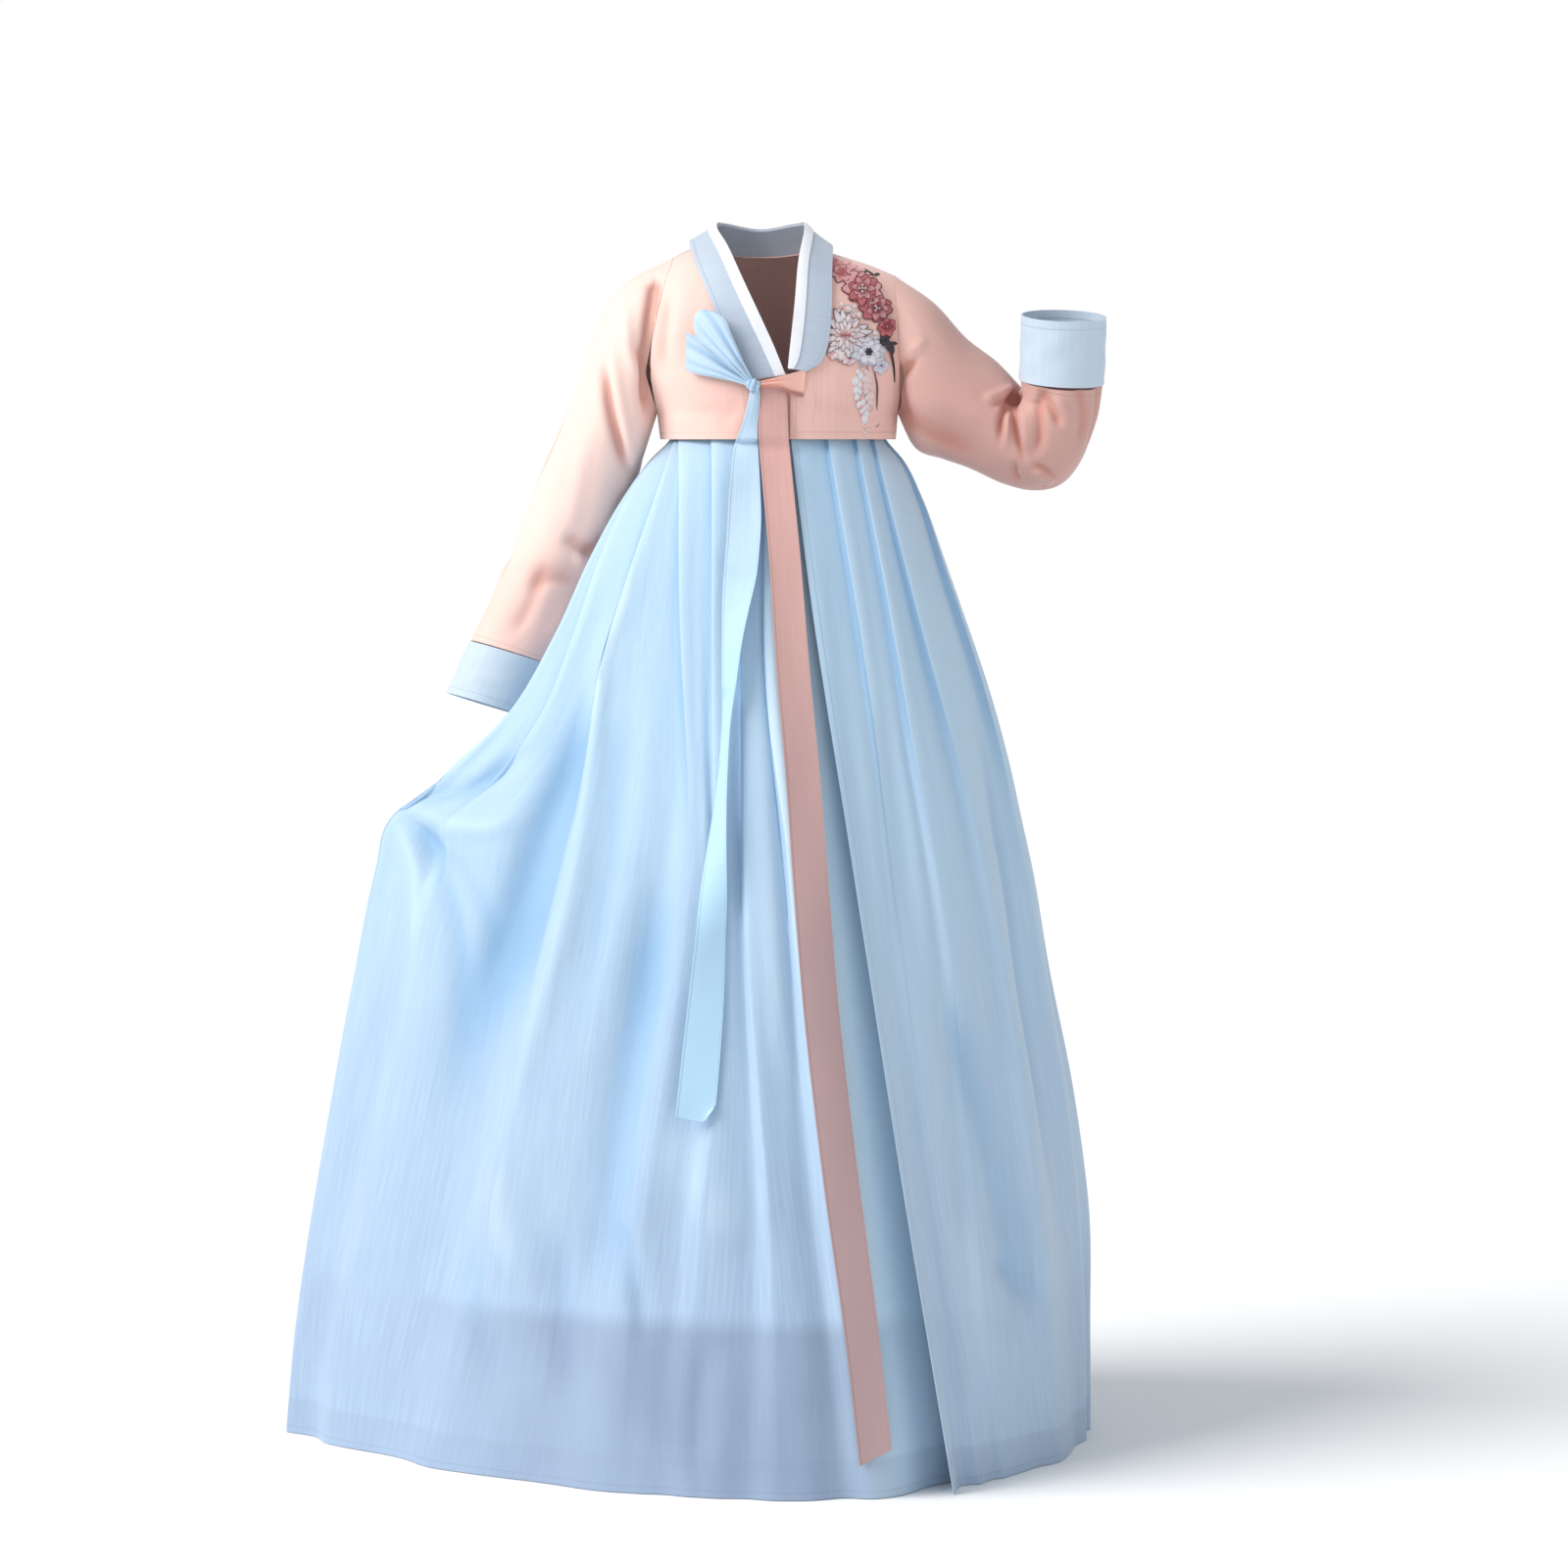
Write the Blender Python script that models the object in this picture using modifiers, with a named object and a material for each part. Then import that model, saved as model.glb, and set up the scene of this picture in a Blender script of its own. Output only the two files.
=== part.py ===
"""A worn women's hanbok, hollow: a short peach jacket (jeogori) over a full pale blue wrap skirt (chima).

Metres, +Z up, front towards -Y, the wearer's left towards +X. The origin lies between the wearer's
shoulders, at the base of the neck. Heights in the tables are above the skirt's hem, which is level.
Every cloth piece is an open surface, lofted through sections worked out from its sizes, with a wall.
"""

import math

import bmesh
import bpy
import numpy as np
from mathutils import Matrix

# Driving sizes
SHOULDER_HEIGHT = 1.330  # of the origin, above the hem
JACKET_HEM = 1.125
UNDERARM_HEIGHT = 1.155  # the lowest point of both armholes
CHEST_HEIGHT = 1.235  # above it the body rolls in to the shoulder line
BODY_Y = 0.010  # the shoulder line lies this far behind the origin
ARMHOLE_DEPTH = 0.058  # half the armhole, front to back
WAISTBAND_TOP = 1.207
SKIRT_TOP = 1.155

# Walls and gaps
SEAM_GAP = 0.0008
JACKET_WALL = 0.0012
SKIRT_WALL = 0.0012
CUFF_WALL = 0.0016
COLLAR_WALL = 0.0020
TRIM_WALL = 0.0012
RIBBON_WALL = 0.0012
COLLAR_LIFT = 0.0034  # from a panel's middle to the collar's middle
TRIM_LIFT = 0.0024
UNDERLAP_DROP = 0.0030  # the under front dips this far below the over front
RIBBON_LIFT = 0.0050

# Colours (linear) and roughness
PEACH = (0.780, 0.480, 0.420, 1.0)
SKY = (0.500, 0.690, 0.860, 1.0)
PALE_BLUE = (0.560, 0.690, 0.830, 1.0)
WHITE = (0.860, 0.860, 0.900, 1.0)
CLOTH_ROUGHNESS = 0.6

# The jacket body: depth in front of and behind the shoulder line.
BODY_ROWS = (
    # height, front, back
    (1.125, 0.116, 0.086),
    (1.155, 0.114, 0.086),
    (1.235, 0.104, 0.080),
)
# The shoulder line across the body, from the wearer's right to the left.
SHOULDER_ROWS = (
    # x, height
    (-0.160, 1.303),
    (-0.135, 1.317),
    (-0.096, 1.337),
    (-0.060, 1.350),
    (0.020, 1.350),
    (0.053, 1.334),
    (0.098, 1.319),
    (0.150, 1.298),
)
# The armhole seams.
SEAM_ROWS = (
    # height, right sleeve's x, left sleeve's x
    (1.125, -0.132, 0.130),
    (1.155, -0.136, 0.132),
    (1.200, -0.142, 0.133),
    (1.260, -0.136, 0.131),
    (1.330, -0.116, 0.126),
)
# The necklines, which the collar covers.
RIGHT_NECKLINE = ((-0.086, 1.340), (-0.070, 1.302), (-0.045, 1.246), (-0.012, 1.185), (0.060, 1.160))
LEFT_NECKLINE = ((0.012, 1.180), (0.030, 1.206), (0.040, 1.250), (0.044, 1.300), (0.046, 1.338))
BACK_NECKLINE = ((-0.086, 1.340), (-0.060, 1.332), (-0.020, 1.329), (0.020, 1.332), (0.046, 1.338))
OVER_EDGE_X = 0.012  # the free edge of the left front, which closes over the right
UNDER_EDGE_X = 0.046

# The collar from its right front end round the neck to its left front end. With no y it lies on the front.
COLLAR_ROWS = (
    # outer x, height, y, inner x, height, y
    (-0.030, 1.187, None, 0.011, 1.191, None),
    (-0.047, 1.218, None, -0.008, 1.229, None),
    (-0.063, 1.250, None, -0.023, 1.262, None),
    (-0.078, 1.285, None, -0.041, 1.300, None),
    (-0.092, 1.318, None, -0.057, 1.334, -0.034),
    (-0.098, 1.342, 0.010, -0.068, 1.357, -0.004),
    (-0.078, 1.329, 0.049, -0.058, 1.362, 0.036),
    (-0.021, 1.317, 0.072, -0.021, 1.357, 0.054),
    (0.038, 1.328, 0.054, 0.018, 1.362, 0.036),
    (0.056, 1.338, 0.010, 0.027, 1.357, -0.004),
    (0.058, 1.312, None, 0.023, 1.322, -0.042),
    (0.057, 1.270, None, 0.018, 1.276, None),
    (0.052, 1.226, None, 0.013, 1.230, None),
    (0.030, 1.192, None, 0.010, 1.196, None),
)
DONGJEONG_SHARE = 0.27  # of the collar's width, the white strip at its inner edge

# The sleeves from the second section on. The first section is the armhole itself.
RIGHT_SLEEVE = (
    # x, y, height of the middle, then x, y, z of the way up the section, and its radii up and across
    (-0.163, 0.008, 1.205, -0.10, 0.0, 1.00, 0.092, 0.060),
    (-0.183, 0.012, 1.175, -0.22, 0.0, 0.97, 0.083, 0.057),
    (-0.195, 0.018, 1.141, -0.35, 0.0, 0.94, 0.070, 0.053),
    (-0.209, 0.026, 1.098, -0.56, 0.0, 0.83, 0.058, 0.050),
    (-0.227, 0.032, 1.048, -0.72, 0.0, 0.69, 0.056, 0.048),
    (-0.245, 0.036, 0.999, -0.79, 0.0, 0.62, 0.053, 0.047),
    (-0.265, 0.036, 0.953, -0.84, 0.0, 0.54, 0.052, 0.045),
    (-0.283, 0.033, 0.914, -0.89, 0.0, 0.45, 0.051, 0.043),
    (-0.300, 0.029, 0.884, -0.95, 0.0, 0.30, 0.049, 0.042),
)
RIGHT_CUFF = (
    (-0.3003, 0.029, 0.8833, -0.95, 0.0, 0.29, 0.050, 0.043),
    (-0.314, 0.026, 0.855, -0.95, 0.0, 0.29, 0.049, 0.042),
    (-0.327, 0.023, 0.826, -0.95, 0.0, 0.29, 0.049, 0.042),
)
LEFT_SLEEVE = (
    (0.163, 0.002, 1.196, 0.12, 0.0, 1.00, 0.081, 0.060),
    (0.196, 0.000, 1.170, 0.18, 0.0, 0.98, 0.068, 0.057),
    (0.228, -0.003, 1.152, 0.22, 0.0, 0.97, 0.061, 0.054),
    (0.256, -0.008, 1.135, 0.08, 0.0, 1.00, 0.058, 0.053),
    (0.276, -0.014, 1.126, -0.20, 0.0, 0.98, 0.057, 0.052),
    (0.292, -0.020, 1.128, -0.45, 0.0, 0.89, 0.056, 0.051),
    (0.304, -0.026, 1.143, -0.73, 0.0, 0.69, 0.050, 0.050),
    (0.311, -0.033, 1.164, -0.93, 0.0, 0.38, 0.045, 0.048),
    (0.313, -0.040, 1.188, -1.00, 0.0, 0.07, 0.045, 0.046),
)
LEFT_CUFF = (
    (0.3130, -0.0402, 1.1888, -1.00, 0.0, 0.05, 0.0465, 0.0465),
    (0.3138, -0.0460, 1.2250, -1.00, 0.0, 0.03, 0.0465, 0.0465),
    (0.3145, -0.0520, 1.2610, -1.00, 0.0, 0.03, 0.0465, 0.0465),
)

# The skirt's plan at each height: how far it reaches, and where its left-hand corner lies.
SKIRT_ROWS = (
    # height, right side's x, left side's x, front y, back y, right side's y, right side's point
    (1.155, -0.110, 0.110, -0.092, 0.076, 0.000, 1.0),
    (1.125, -0.117, 0.115, -0.096, 0.080, -0.002, 1.0),
    (1.103, -0.138, 0.133, -0.108, 0.096, -0.012, 1.05),
    (1.060, -0.168, 0.154, -0.124, 0.114, -0.034, 1.15),
    (0.997, -0.202, 0.177, -0.148, 0.140, -0.060, 1.3),
    (0.910, -0.242, 0.207, -0.178, 0.172, -0.080, 1.5),
    (0.818, -0.300, 0.236, -0.207, 0.204, -0.080, 1.7),
    (0.757, -0.362, 0.252, -0.226, 0.224, -0.062, 1.8),
    (0.705, -0.430, 0.263, -0.240, 0.240, -0.040, 1.9),
    (0.646, -0.449, 0.276, -0.256, 0.256, -0.030, 1.9),
    (0.514, -0.478, 0.296, -0.286, 0.288, -0.010, 1.9),
    (0.382, -0.503, 0.318, -0.308, 0.312, 0.000, 2.0),
    (0.250, -0.526, 0.332, -0.322, 0.328, 0.010, 2.0),
    (0.120, -0.545, 0.339, -0.332, 0.338, 0.020, 2.0),
    (0.000, -0.557, 0.340, -0.338, 0.345, 0.030, 2.0),
)
LEFT_SIDE_POINT = 1.2  # how pointed the plan is on the wearer's left, 1 for an ellipse
FRONT_X = (0.0, 0.020)  # the foremost point's x at the waist and at the hem
# The pleats' edges, in degrees round from the front towards the wearer's left, at three heights. Between
# two edges the cloth falls gently from the first and rises sharply to the second.
PLEAT_HEIGHTS = (1.125, 0.700, 0.000)
PLEAT_ROWS = (
    # waist angle, middle angle, hem angle, middle depth, hem depth
    (6, 14, 28, 0.016, 0.030),
    (29, 26, 40, 0.012, 0.012),
    (45, 37, 51, 0.014, 0.016),
    (62, 51, 64, 0.016, 0.020),
    (84, 74, 80, 0.013, 0.022),
    (106, 100, 100, 0.016, 0.026),
    (128, 124, 122, 0.013, 0.020),
    (150, 147, 146, 0.017, 0.028),
    (172, 170, 169, 0.013, 0.021),
    (194, 192, 193, 0.017, 0.028),
    (216, 213, 214, 0.013, 0.020),
    (238, 234, 234, 0.016, 0.024),
    (258, 254, 254, 0.014, 0.018),
    (272, 280, 279, 0.010, 0.012),
    (282, 303, 297, 0.018, 0.020),
    (292, 330, 329, 0.024, 0.026),
    (305, 350, 348, 0.016, 0.018),
    (328, 355, 356, 0.012, 0.012),
    (350, 360, 362, 0.014, 0.014),
    (366, 374, 388, 0.002, 0.002),
    (388, 390, 405, 0.002, 0.002),
)
PLEAT_WAIST_DEPTH = 0.0035
PLEAT_STEPS = (0.0, 0.30, 0.60, 0.86)  # the columns between two pleat edges
WAIST_VALLEY, HEM_VALLEY = 0.90, 0.66  # where between two edges the cloth lies lowest
UNDERLAP_STARTS, UNDERLAP_ENDS = 18.2, 18.9  # where the under layer goes behind the over one
UNDERLAP_INSET = (0.006, 0.030)  # it lies this far inside, at the waist and at the hem
ROW_HEIGHTS = (1.155, 1.125, 1.099, 1.055, 0.980, 0.880, 0.780, 0.705, 0.610, 0.440, 0.220, 0.000)
# Each width of skirt cloth runs from one pleat number to another. They are sewn in mid-pleat.
SKIRT_WIDTHS = (
    ("skirt_over_front", 0.0, 3.5),
    ("skirt_left_side", 3.5, 6.5),
    ("skirt_back_left", 6.5, 9.5),
    ("skirt_back_right", 9.5, 11.6),
    ("skirt_right_side", 11.6, 15.5),
    ("skirt_under_front", 15.5, 20.0),
)

# Ribbons: the jacket's two ties. Both hang in front of the cloth from the knot.
KNOT = (-0.029, 1.183)  # x, height
PEACH_TAIL = (
    # x, height, width, turn in degrees, further lift
    (-0.004, 1.176, 0.022, 0, 0.006),
    (-0.004, 1.150, 0.030, 0, 0.002),
    (-0.005, 1.115, 0.033, 0, 0.004),
    (0.006, 1.000, 0.034, 0, 0.002),
    (0.015, 0.880, 0.036, 0, 0.000),
    (0.026, 0.760, 0.037, 3, 0.000),
    (0.035, 0.640, 0.038, 5, 0.000),
    (0.047, 0.500, 0.038, 4, 0.000),
    (0.066, 0.340, 0.038, 0, 0.000),
    (0.085, 0.200, 0.037, -3, 0.000),
    (0.103, 0.045, 0.028, -4, 0.000),
)
BLUE_TAIL = (
    (-0.033, 1.172, 0.014, 0, 0.006),
    (-0.036, 1.140, 0.022, 0, 0.003),
    (-0.040, 1.110, 0.034, 0, 0.004),
    (-0.046, 1.020, 0.034, 8, 0.001),
    (-0.050, 0.930, 0.030, 20, 0.002),
    (-0.054, 0.860, 0.030, 55, 0.009),
    (-0.056, 0.825, 0.030, 68, 0.011),
    (-0.059, 0.780, 0.032, 50, 0.009),
    (-0.067, 0.680, 0.034, 25, 0.004),
    (-0.076, 0.580, 0.036, 12, 0.001),
    (-0.084, 0.480, 0.038, 5, 0.000),
    (-0.090, 0.402, 0.037, 0, 0.000),
)
# The bow's loop, the short end under it and the peach tie's stub beside the knot.
LOOP_START, LOOP_LENGTH, LOOP_WIDTH, LOOP_GAP = 0.012, 0.098, 0.038, 0.010
LOOP_ANGLE = 127  # degrees from the wearer's left towards up
SHORT_END_LENGTH, SHORT_END_ANGLE = 0.076, 158
BOW_LIFT = 0.0105
STUB_WIDTH = 0.016
STUB = ((0.024, 1.174), (0.012, 1.177), (0.000, 1.180), (-0.012, 1.182))  # x, height
KNOT_SIZE = (0.017, 0.010, 0.015)


def material(name, colour):
    """A plain cloth material."""
    made = bpy.data.materials.new(name)
    made.use_nodes = True
    shader = made.node_tree.nodes["Principled BSDF"]
    shader.inputs["Base Color"].default_value = colour
    shader.inputs["Roughness"].default_value = CLOTH_ROUGHNESS
    shader.inputs["Metallic"].default_value = 0.0
    return made


def smooth(share):
    """0 to 1 with no slope at either end."""
    t = np.clip(share, 0.0, 1.0)
    return t * t * (3 - 2 * t)


def along(rows, at, column):
    """The value of a column where the first column is `at`, on a smooth curve through the rows."""
    table = np.array(rows, float)
    table = table[np.argsort(table[:, 0])]
    xs, ys = table[:, 0], table[:, column]
    slopes = np.gradient(ys, xs)
    rises = np.diff(ys)
    # No overshoot: a row that is a peak or a valley has no slope.
    slopes[1:-1] = np.where(rises[:-1] * rises[1:] <= 0, 0.0, slopes[1:-1])
    at = np.clip(at, xs[0], xs[-1])
    i = np.clip(np.searchsorted(xs, at) - 1, 0, len(xs) - 2)
    step = xs[i + 1] - xs[i]
    t = (at - xs[i]) / step
    return (
        ys[i] * (1 + 2 * t) * (1 - t) ** 2
        + slopes[i] * step * t * (1 - t) ** 2
        + ys[i + 1] * t * t * (3 - 2 * t)
        - slopes[i + 1] * step * t * t * (1 - t)
    )


def through(points, count):
    """`count` points on a smooth curve through the given ones."""
    points = np.array(points, float)
    numbered = np.column_stack([np.arange(len(points)), points])
    at = np.linspace(0, len(points) - 1, count)
    return np.column_stack([along(numbered, at, k + 1) for k in range(points.shape[1])])


def cloth(name, grid, wall, colour, closed=False):
    """A cloth piece: a surface through the grid's rows, with a wall. A closed one runs round a tube."""
    rows, columns = grid.shape[:2]
    mesh = bpy.data.meshes.new(name)
    shell = bmesh.new()
    points = [[shell.verts.new((x, y, z - SHOULDER_HEIGHT)) for x, y, z in row] for row in grid]
    for i in range(rows - 1):
        for j in range(columns if closed else columns - 1):
            k = (j + 1) % columns
            shell.faces.new((points[i][j], points[i][k], points[i + 1][k], points[i + 1][j]))
    bmesh.ops.triangulate(shell, faces=shell.faces)
    shell.to_mesh(mesh)
    shell.free()
    piece = bpy.data.objects.new(name, mesh)
    garment.objects.link(piece)
    mesh.materials.append(colour)
    mesh.shade_smooth()
    solid = piece.modifiers.new("wall", "SOLIDIFY")
    solid.thickness = wall
    solid.offset = 0.0
    solid.use_rim = True
    return piece


# --- the jacket -------------------------------------------------------------------------------------


def seam_x(side, height):
    """The armhole seam's x at a height; side is -1 for the wearer's right and 1 for the left."""
    return along(SEAM_ROWS, height, 1 if side < 0 else 2)


def armhole_half_depth(height):
    """Half the armhole's width, front to back, below the chest."""
    drop = (CHEST_HEIGHT - height) / (CHEST_HEIGHT - UNDERARM_HEIGHT)
    return ARMHOLE_DEPTH * np.sqrt(np.clip(1 - np.clip(drop, 0, 1) ** 2, 0, 1))


def body_y(x, height, facing):
    """The body's y at a place on it; facing is -1 for the front and 1 for the back."""
    depth = along(BODY_ROWS, height, 1 if facing < 0 else 2)
    across = np.abs(x / np.where(x < 0, seam_x(-1, height), seam_x(1, height)))
    open_share = armhole_half_depth(height) / depth
    bulge = np.sqrt(np.clip(1 - (1 - open_share**2) * np.minimum(across, 1) ** 2, 0, 1))
    top = along(SHOULDER_ROWS, x, 1)
    roll = np.sqrt(np.clip(1 - (np.maximum(height - CHEST_HEIGHT, 0) / (top - CHEST_HEIGHT)) ** 2, 0, 1))
    return BODY_Y + facing * depth * bulge * roll


def front_y(x, height):
    """The y of a point that lies on the jacket's front."""
    return float(body_y(np.float64(x), np.float64(height), -1))


def body_panel(inner_edge_x, side, facing, neckline, columns, rows):
    """A jacket panel's grid, from the inner edge or centre seam to the armhole seam on that side."""
    neck_end = max(abs(neckline[0][0]), abs(neckline[-1][0]))
    start = math.asin(abs(inner_edge_x) / abs(float(seam_x(side, JACKET_HEM))))
    begins = start if inner_edge_x * side >= 0 else -start
    angles = np.linspace(begins, math.pi / 2, columns)
    # The shoulder's share of the height is passed by angle, so that its rows stay even round the roll.
    steps = np.linspace(0, 1, rows)
    grid = np.zeros((rows, columns, 3))
    for j, angle in enumerate(angles):
        top = SHOULDER_HEIGHT
        for _ in range(8):
            x_top = float(seam_x(side, top)) * math.sin(angle)
            on_neck = x_top * side < (neck_end if side < 0 else neckline[-1][0])
            if facing > 0:
                on_neck = neckline[0][0] < x_top < neckline[-1][0]
            top = along(neckline, x_top, 1) if on_neck else along(SHOULDER_ROWS, x_top, 1)
            top = float(min(top, along(SHOULDER_ROWS, x_top, 1) - 1e-5))
        eased = np.sin(steps * math.pi / 2) ** 0.9
        share = np.where(top > CHEST_HEIGHT, eased, steps)
        heights = JACKET_HEM + (top - JACKET_HEM) * share
        xs = seam_x(side, heights) * math.sin(angle)
        ys = body_y(xs, heights, facing)
        grid[:, j] = np.column_stack([xs, ys, heights])
    grid[:, -1, 0] -= side * SEAM_GAP  # the armhole seam
    below = grid[:, -1, 2] < UNDERARM_HEIGHT
    grid[below, -1, 1] += facing * SEAM_GAP  # the side seam
    over_the_top = grid[-1, :, 2] > CHEST_HEIGHT
    grid[-1, over_the_top, 1] += facing * SEAM_GAP  # the shoulder seam
    return grid


def jacket_panels():
    """Two fronts and two backs."""
    right = body_panel(UNDER_EDGE_X, -1, -1, RIGHT_NECKLINE, 15, 8)
    right[..., 1] += UNDERLAP_DROP * smooth((right[..., 0] + 0.025) / 0.030)
    cloth("jacket_front_right", right, JACKET_WALL, peach)
    cloth("jacket_front_left", body_panel(OVER_EDGE_X, 1, -1, LEFT_NECKLINE, 12, 8), JACKET_WALL, peach)
    for name, side in (("jacket_back_right", -1), ("jacket_back_left", 1)):
        back = body_panel(side * SEAM_GAP / 2, side, 1, BACK_NECKLINE, 9, 7)
        cloth(name, back, JACKET_WALL, peach)


def armhole_ring(side, count):
    """The armhole, as points from the shoulder forward, down and up the back."""
    top = SHOULDER_HEIGHT
    for _ in range(8):
        top = float(along(SHOULDER_ROWS, seam_x(side, top), 1)) - 1e-5
    middle, half = (top + UNDERARM_HEIGHT) / 2, (top - UNDERARM_HEIGHT) / 2
    ring = []
    for k in range(count):
        turn = 2 * math.pi * k / count
        height = middle + half * math.cos(turn)
        x = float(seam_x(side, height))
        facing = -1 if math.sin(turn) >= 0 else 1
        y = float(body_y(np.float64(x), np.float64(height), facing))
        ring.append((x + side * SEAM_GAP, y, height))
    return np.array(ring)


def section_rings(rows, side, count, ends):
    """Ellipses round the arm, one for each row; ends are the points before and after, for the direction."""
    table = np.array(rows, float)
    centres, ups, radii = table[:, :3], table[:, 3:6], table[:, 6:8]
    path = np.vstack([ends[0], centres, ends[1]])
    rings = []
    for i, (centre, up, (radius_up, radius_side)) in enumerate(zip(centres, ups, radii)):
        ahead = path[i + 2] - path[i]
        up = up / np.linalg.norm(up)
        across = np.cross(ahead, up)
        across = side * across / np.linalg.norm(across)
        turns = 2 * math.pi * np.arange(count)[:, None] / count
        rings.append(centre + radius_up * np.cos(turns) * up + radius_side * np.sin(turns) * across)
    return np.array(rings)


def sleeves():
    """Each sleeve is one tube from its armhole, with a cuff of its own."""
    parts = (
        ("sleeve_right", "cuff_right", -1, RIGHT_SLEEVE, RIGHT_CUFF),
        ("sleeve_left", "cuff_left", 1, LEFT_SLEEVE, LEFT_CUFF),
    )
    around = 16
    for sleeve_name, cuff_name, side, rows, cuff_rows in parts:
        start = armhole_ring(side, around)
        rows = through(rows, 11)
        rings = section_rings(rows, side, around, (start.mean(axis=0), np.array(cuff_rows[1][:3])))
        cloth(sleeve_name, np.concatenate([start[None], rings]), JACKET_WALL, peach, closed=True)
        beyond = 2 * np.array(cuff_rows[-1][:3]) - np.array(cuff_rows[-2][:3])
        cuff = section_rings(cuff_rows, side, around, (np.array(rows[-2][:3]), beyond))
        cloth(cuff_name, cuff, CUFF_WALL, pale_blue, closed=True)


def collar_edges(count):
    """The collar's outer and inner edges, as two rows of points on the body."""
    lines = []
    for first in (0, 3):
        line = []
        for row in COLLAR_ROWS:
            x, height, y = row[first : first + 3]
            line.append((x, front_y(x, height) if y is None else y, height))
        lines.append(through(line, count))
    return lines


def over_body(outer, inner, share, further):
    """Points that share of the way across the collar, clear of the body, and moved out a further way."""
    out = np.cross(inner - outer, np.gradient(outer, axis=0))
    out /= np.linalg.norm(out, axis=1)[:, None]
    points = outer + (inner - outer) * share + out * COLLAR_LIFT
    clear = body_y(points[:, 0], points[:, 2] - COLLAR_LIFT, -1) - COLLAR_LIFT
    in_front = points[:, 1] < BODY_Y - COLLAR_LIFT
    points[:, 1] = np.where(in_front, np.minimum(points[:, 1], clear), points[:, 1])
    return points + out * further


def collar():
    """The collar band and the white strip at its inner edge."""
    outer, inner = collar_edges(30)
    shares = (0.0, 0.33, 0.67, 1.0)
    cloth("collar", np.array([over_body(outer, inner, k, 0.0) for k in shares]), COLLAR_WALL, pale_blue)
    shares = (1 - DONGJEONG_SHARE, 1.04)
    cloth("dongjeong", np.array([over_body(outer, inner, k, TRIM_LIFT) for k in shares]), TRIM_WALL, white)


# --- the skirt --------------------------------------------------------------------------------------


def skirt_plan(height, angle):
    """The skirt's smooth plan at a height, before its pleats, for angles in radians."""
    x_right, x_left, y_front, y_back, y_side, point = (along(SKIRT_ROWS, height, k) for k in range(1, 7))
    drop = (SKIRT_ROWS[0][0] - height) / SKIRT_ROWS[0][0]
    x_front = FRONT_X[0] + (FRONT_X[1] - FRONT_X[0]) * drop
    sine, cosine = np.sin(angle), np.cos(angle)
    left = sine >= 0
    x = x_front + sine * np.where(left, x_left - x_front, x_front - x_right)
    side_y = np.where(left, 0.0, y_side)
    end_y = np.where(cosine >= 0, y_front, y_back)
    power = np.where(left, LEFT_SIDE_POINT, point)
    y = side_y + (end_y - side_y) * np.abs(cosine) ** power
    return np.stack([x, y], axis=-1)


def pleat_angle(number, height):
    """The angle of a place in the pleats, in radians; whole numbers are the pleats' edges."""
    numbers = np.arange(len(PLEAT_ROWS))
    table = np.array(PLEAT_ROWS, float)
    at_heights = [np.interp(number, numbers, table[:, k]) for k in range(3)]
    upper, middle, lower = PLEAT_HEIGHTS
    if height >= middle:
        share = smooth(min((upper - height) / (upper - middle), 1)) if height < upper else 0.0
        degrees = at_heights[0] + (at_heights[1] - at_heights[0]) * share
    else:
        share = (middle - height) / (middle - lower)
        degrees = at_heights[1] + (at_heights[2] - at_heights[1]) * share
    return np.radians(degrees)


def pleat_depth(number, height):
    """How far the cloth stands out of the plan at a place in the pleats."""
    table = np.array(PLEAT_ROWS, float)
    numbers = np.arange(len(table))
    upper, middle, lower = PLEAT_HEIGHTS
    waist = np.full(len(table), PLEAT_WAIST_DEPTH)
    rows = np.array([table[:, 4], table[:, 3], waist])
    depths = np.array([np.interp(height, (lower, middle, upper), rows[:, k]) for k in numbers])
    first = np.minimum(np.floor(number).astype(int), len(table) - 2)
    between = number - first
    ridge = depths[first] + (depths[first + 1] - depths[first]) * between
    valley = WAIST_VALLEY + (HEM_VALLEY - WAIST_VALLEY) * smooth((upper - height) / (upper - lower))
    falling = 0.5 + 0.5 * np.cos(math.pi * np.minimum(between / valley, 1))
    rising = 0.5 - 0.5 * np.cos(math.pi * np.clip((between - valley) / (1 - valley), 0, 1))
    return ridge * np.where(between < valley, falling, rising)


def skirt_ring(numbers, height):
    """Points of the skirt at one height, at the given places in its pleats."""
    plan = skirt_plan(height, pleat_angle(numbers, height))
    step = 1e-3
    ahead = skirt_plan(height, pleat_angle(numbers, height) + step)
    direction = ahead - skirt_plan(height, pleat_angle(numbers, height) - step)
    out = np.stack([direction[:, 1], -direction[:, 0]], axis=-1)
    out /= np.linalg.norm(out, axis=1)[:, None]
    depth = pleat_depth(numbers, height)
    under = smooth((numbers - UNDERLAP_STARTS) / (UNDERLAP_ENDS - UNDERLAP_STARTS))
    drop = (SKIRT_TOP - height) / SKIRT_TOP
    depth = depth - under * (UNDERLAP_INSET[0] + (UNDERLAP_INSET[1] - UNDERLAP_INSET[0]) * drop)
    ring = plan + out * depth[:, None]
    return np.column_stack([ring, np.full(len(numbers), height)])


def skirt_columns(first, last):
    """The places in the pleats where a width of cloth has its columns."""
    every = np.array([k + step for k in range(len(PLEAT_ROWS)) for step in PLEAT_STEPS])
    inside = every[(every > first + 0.02) & (every < last - 0.02)]
    return np.concatenate([[first], inside, [last]])


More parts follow.
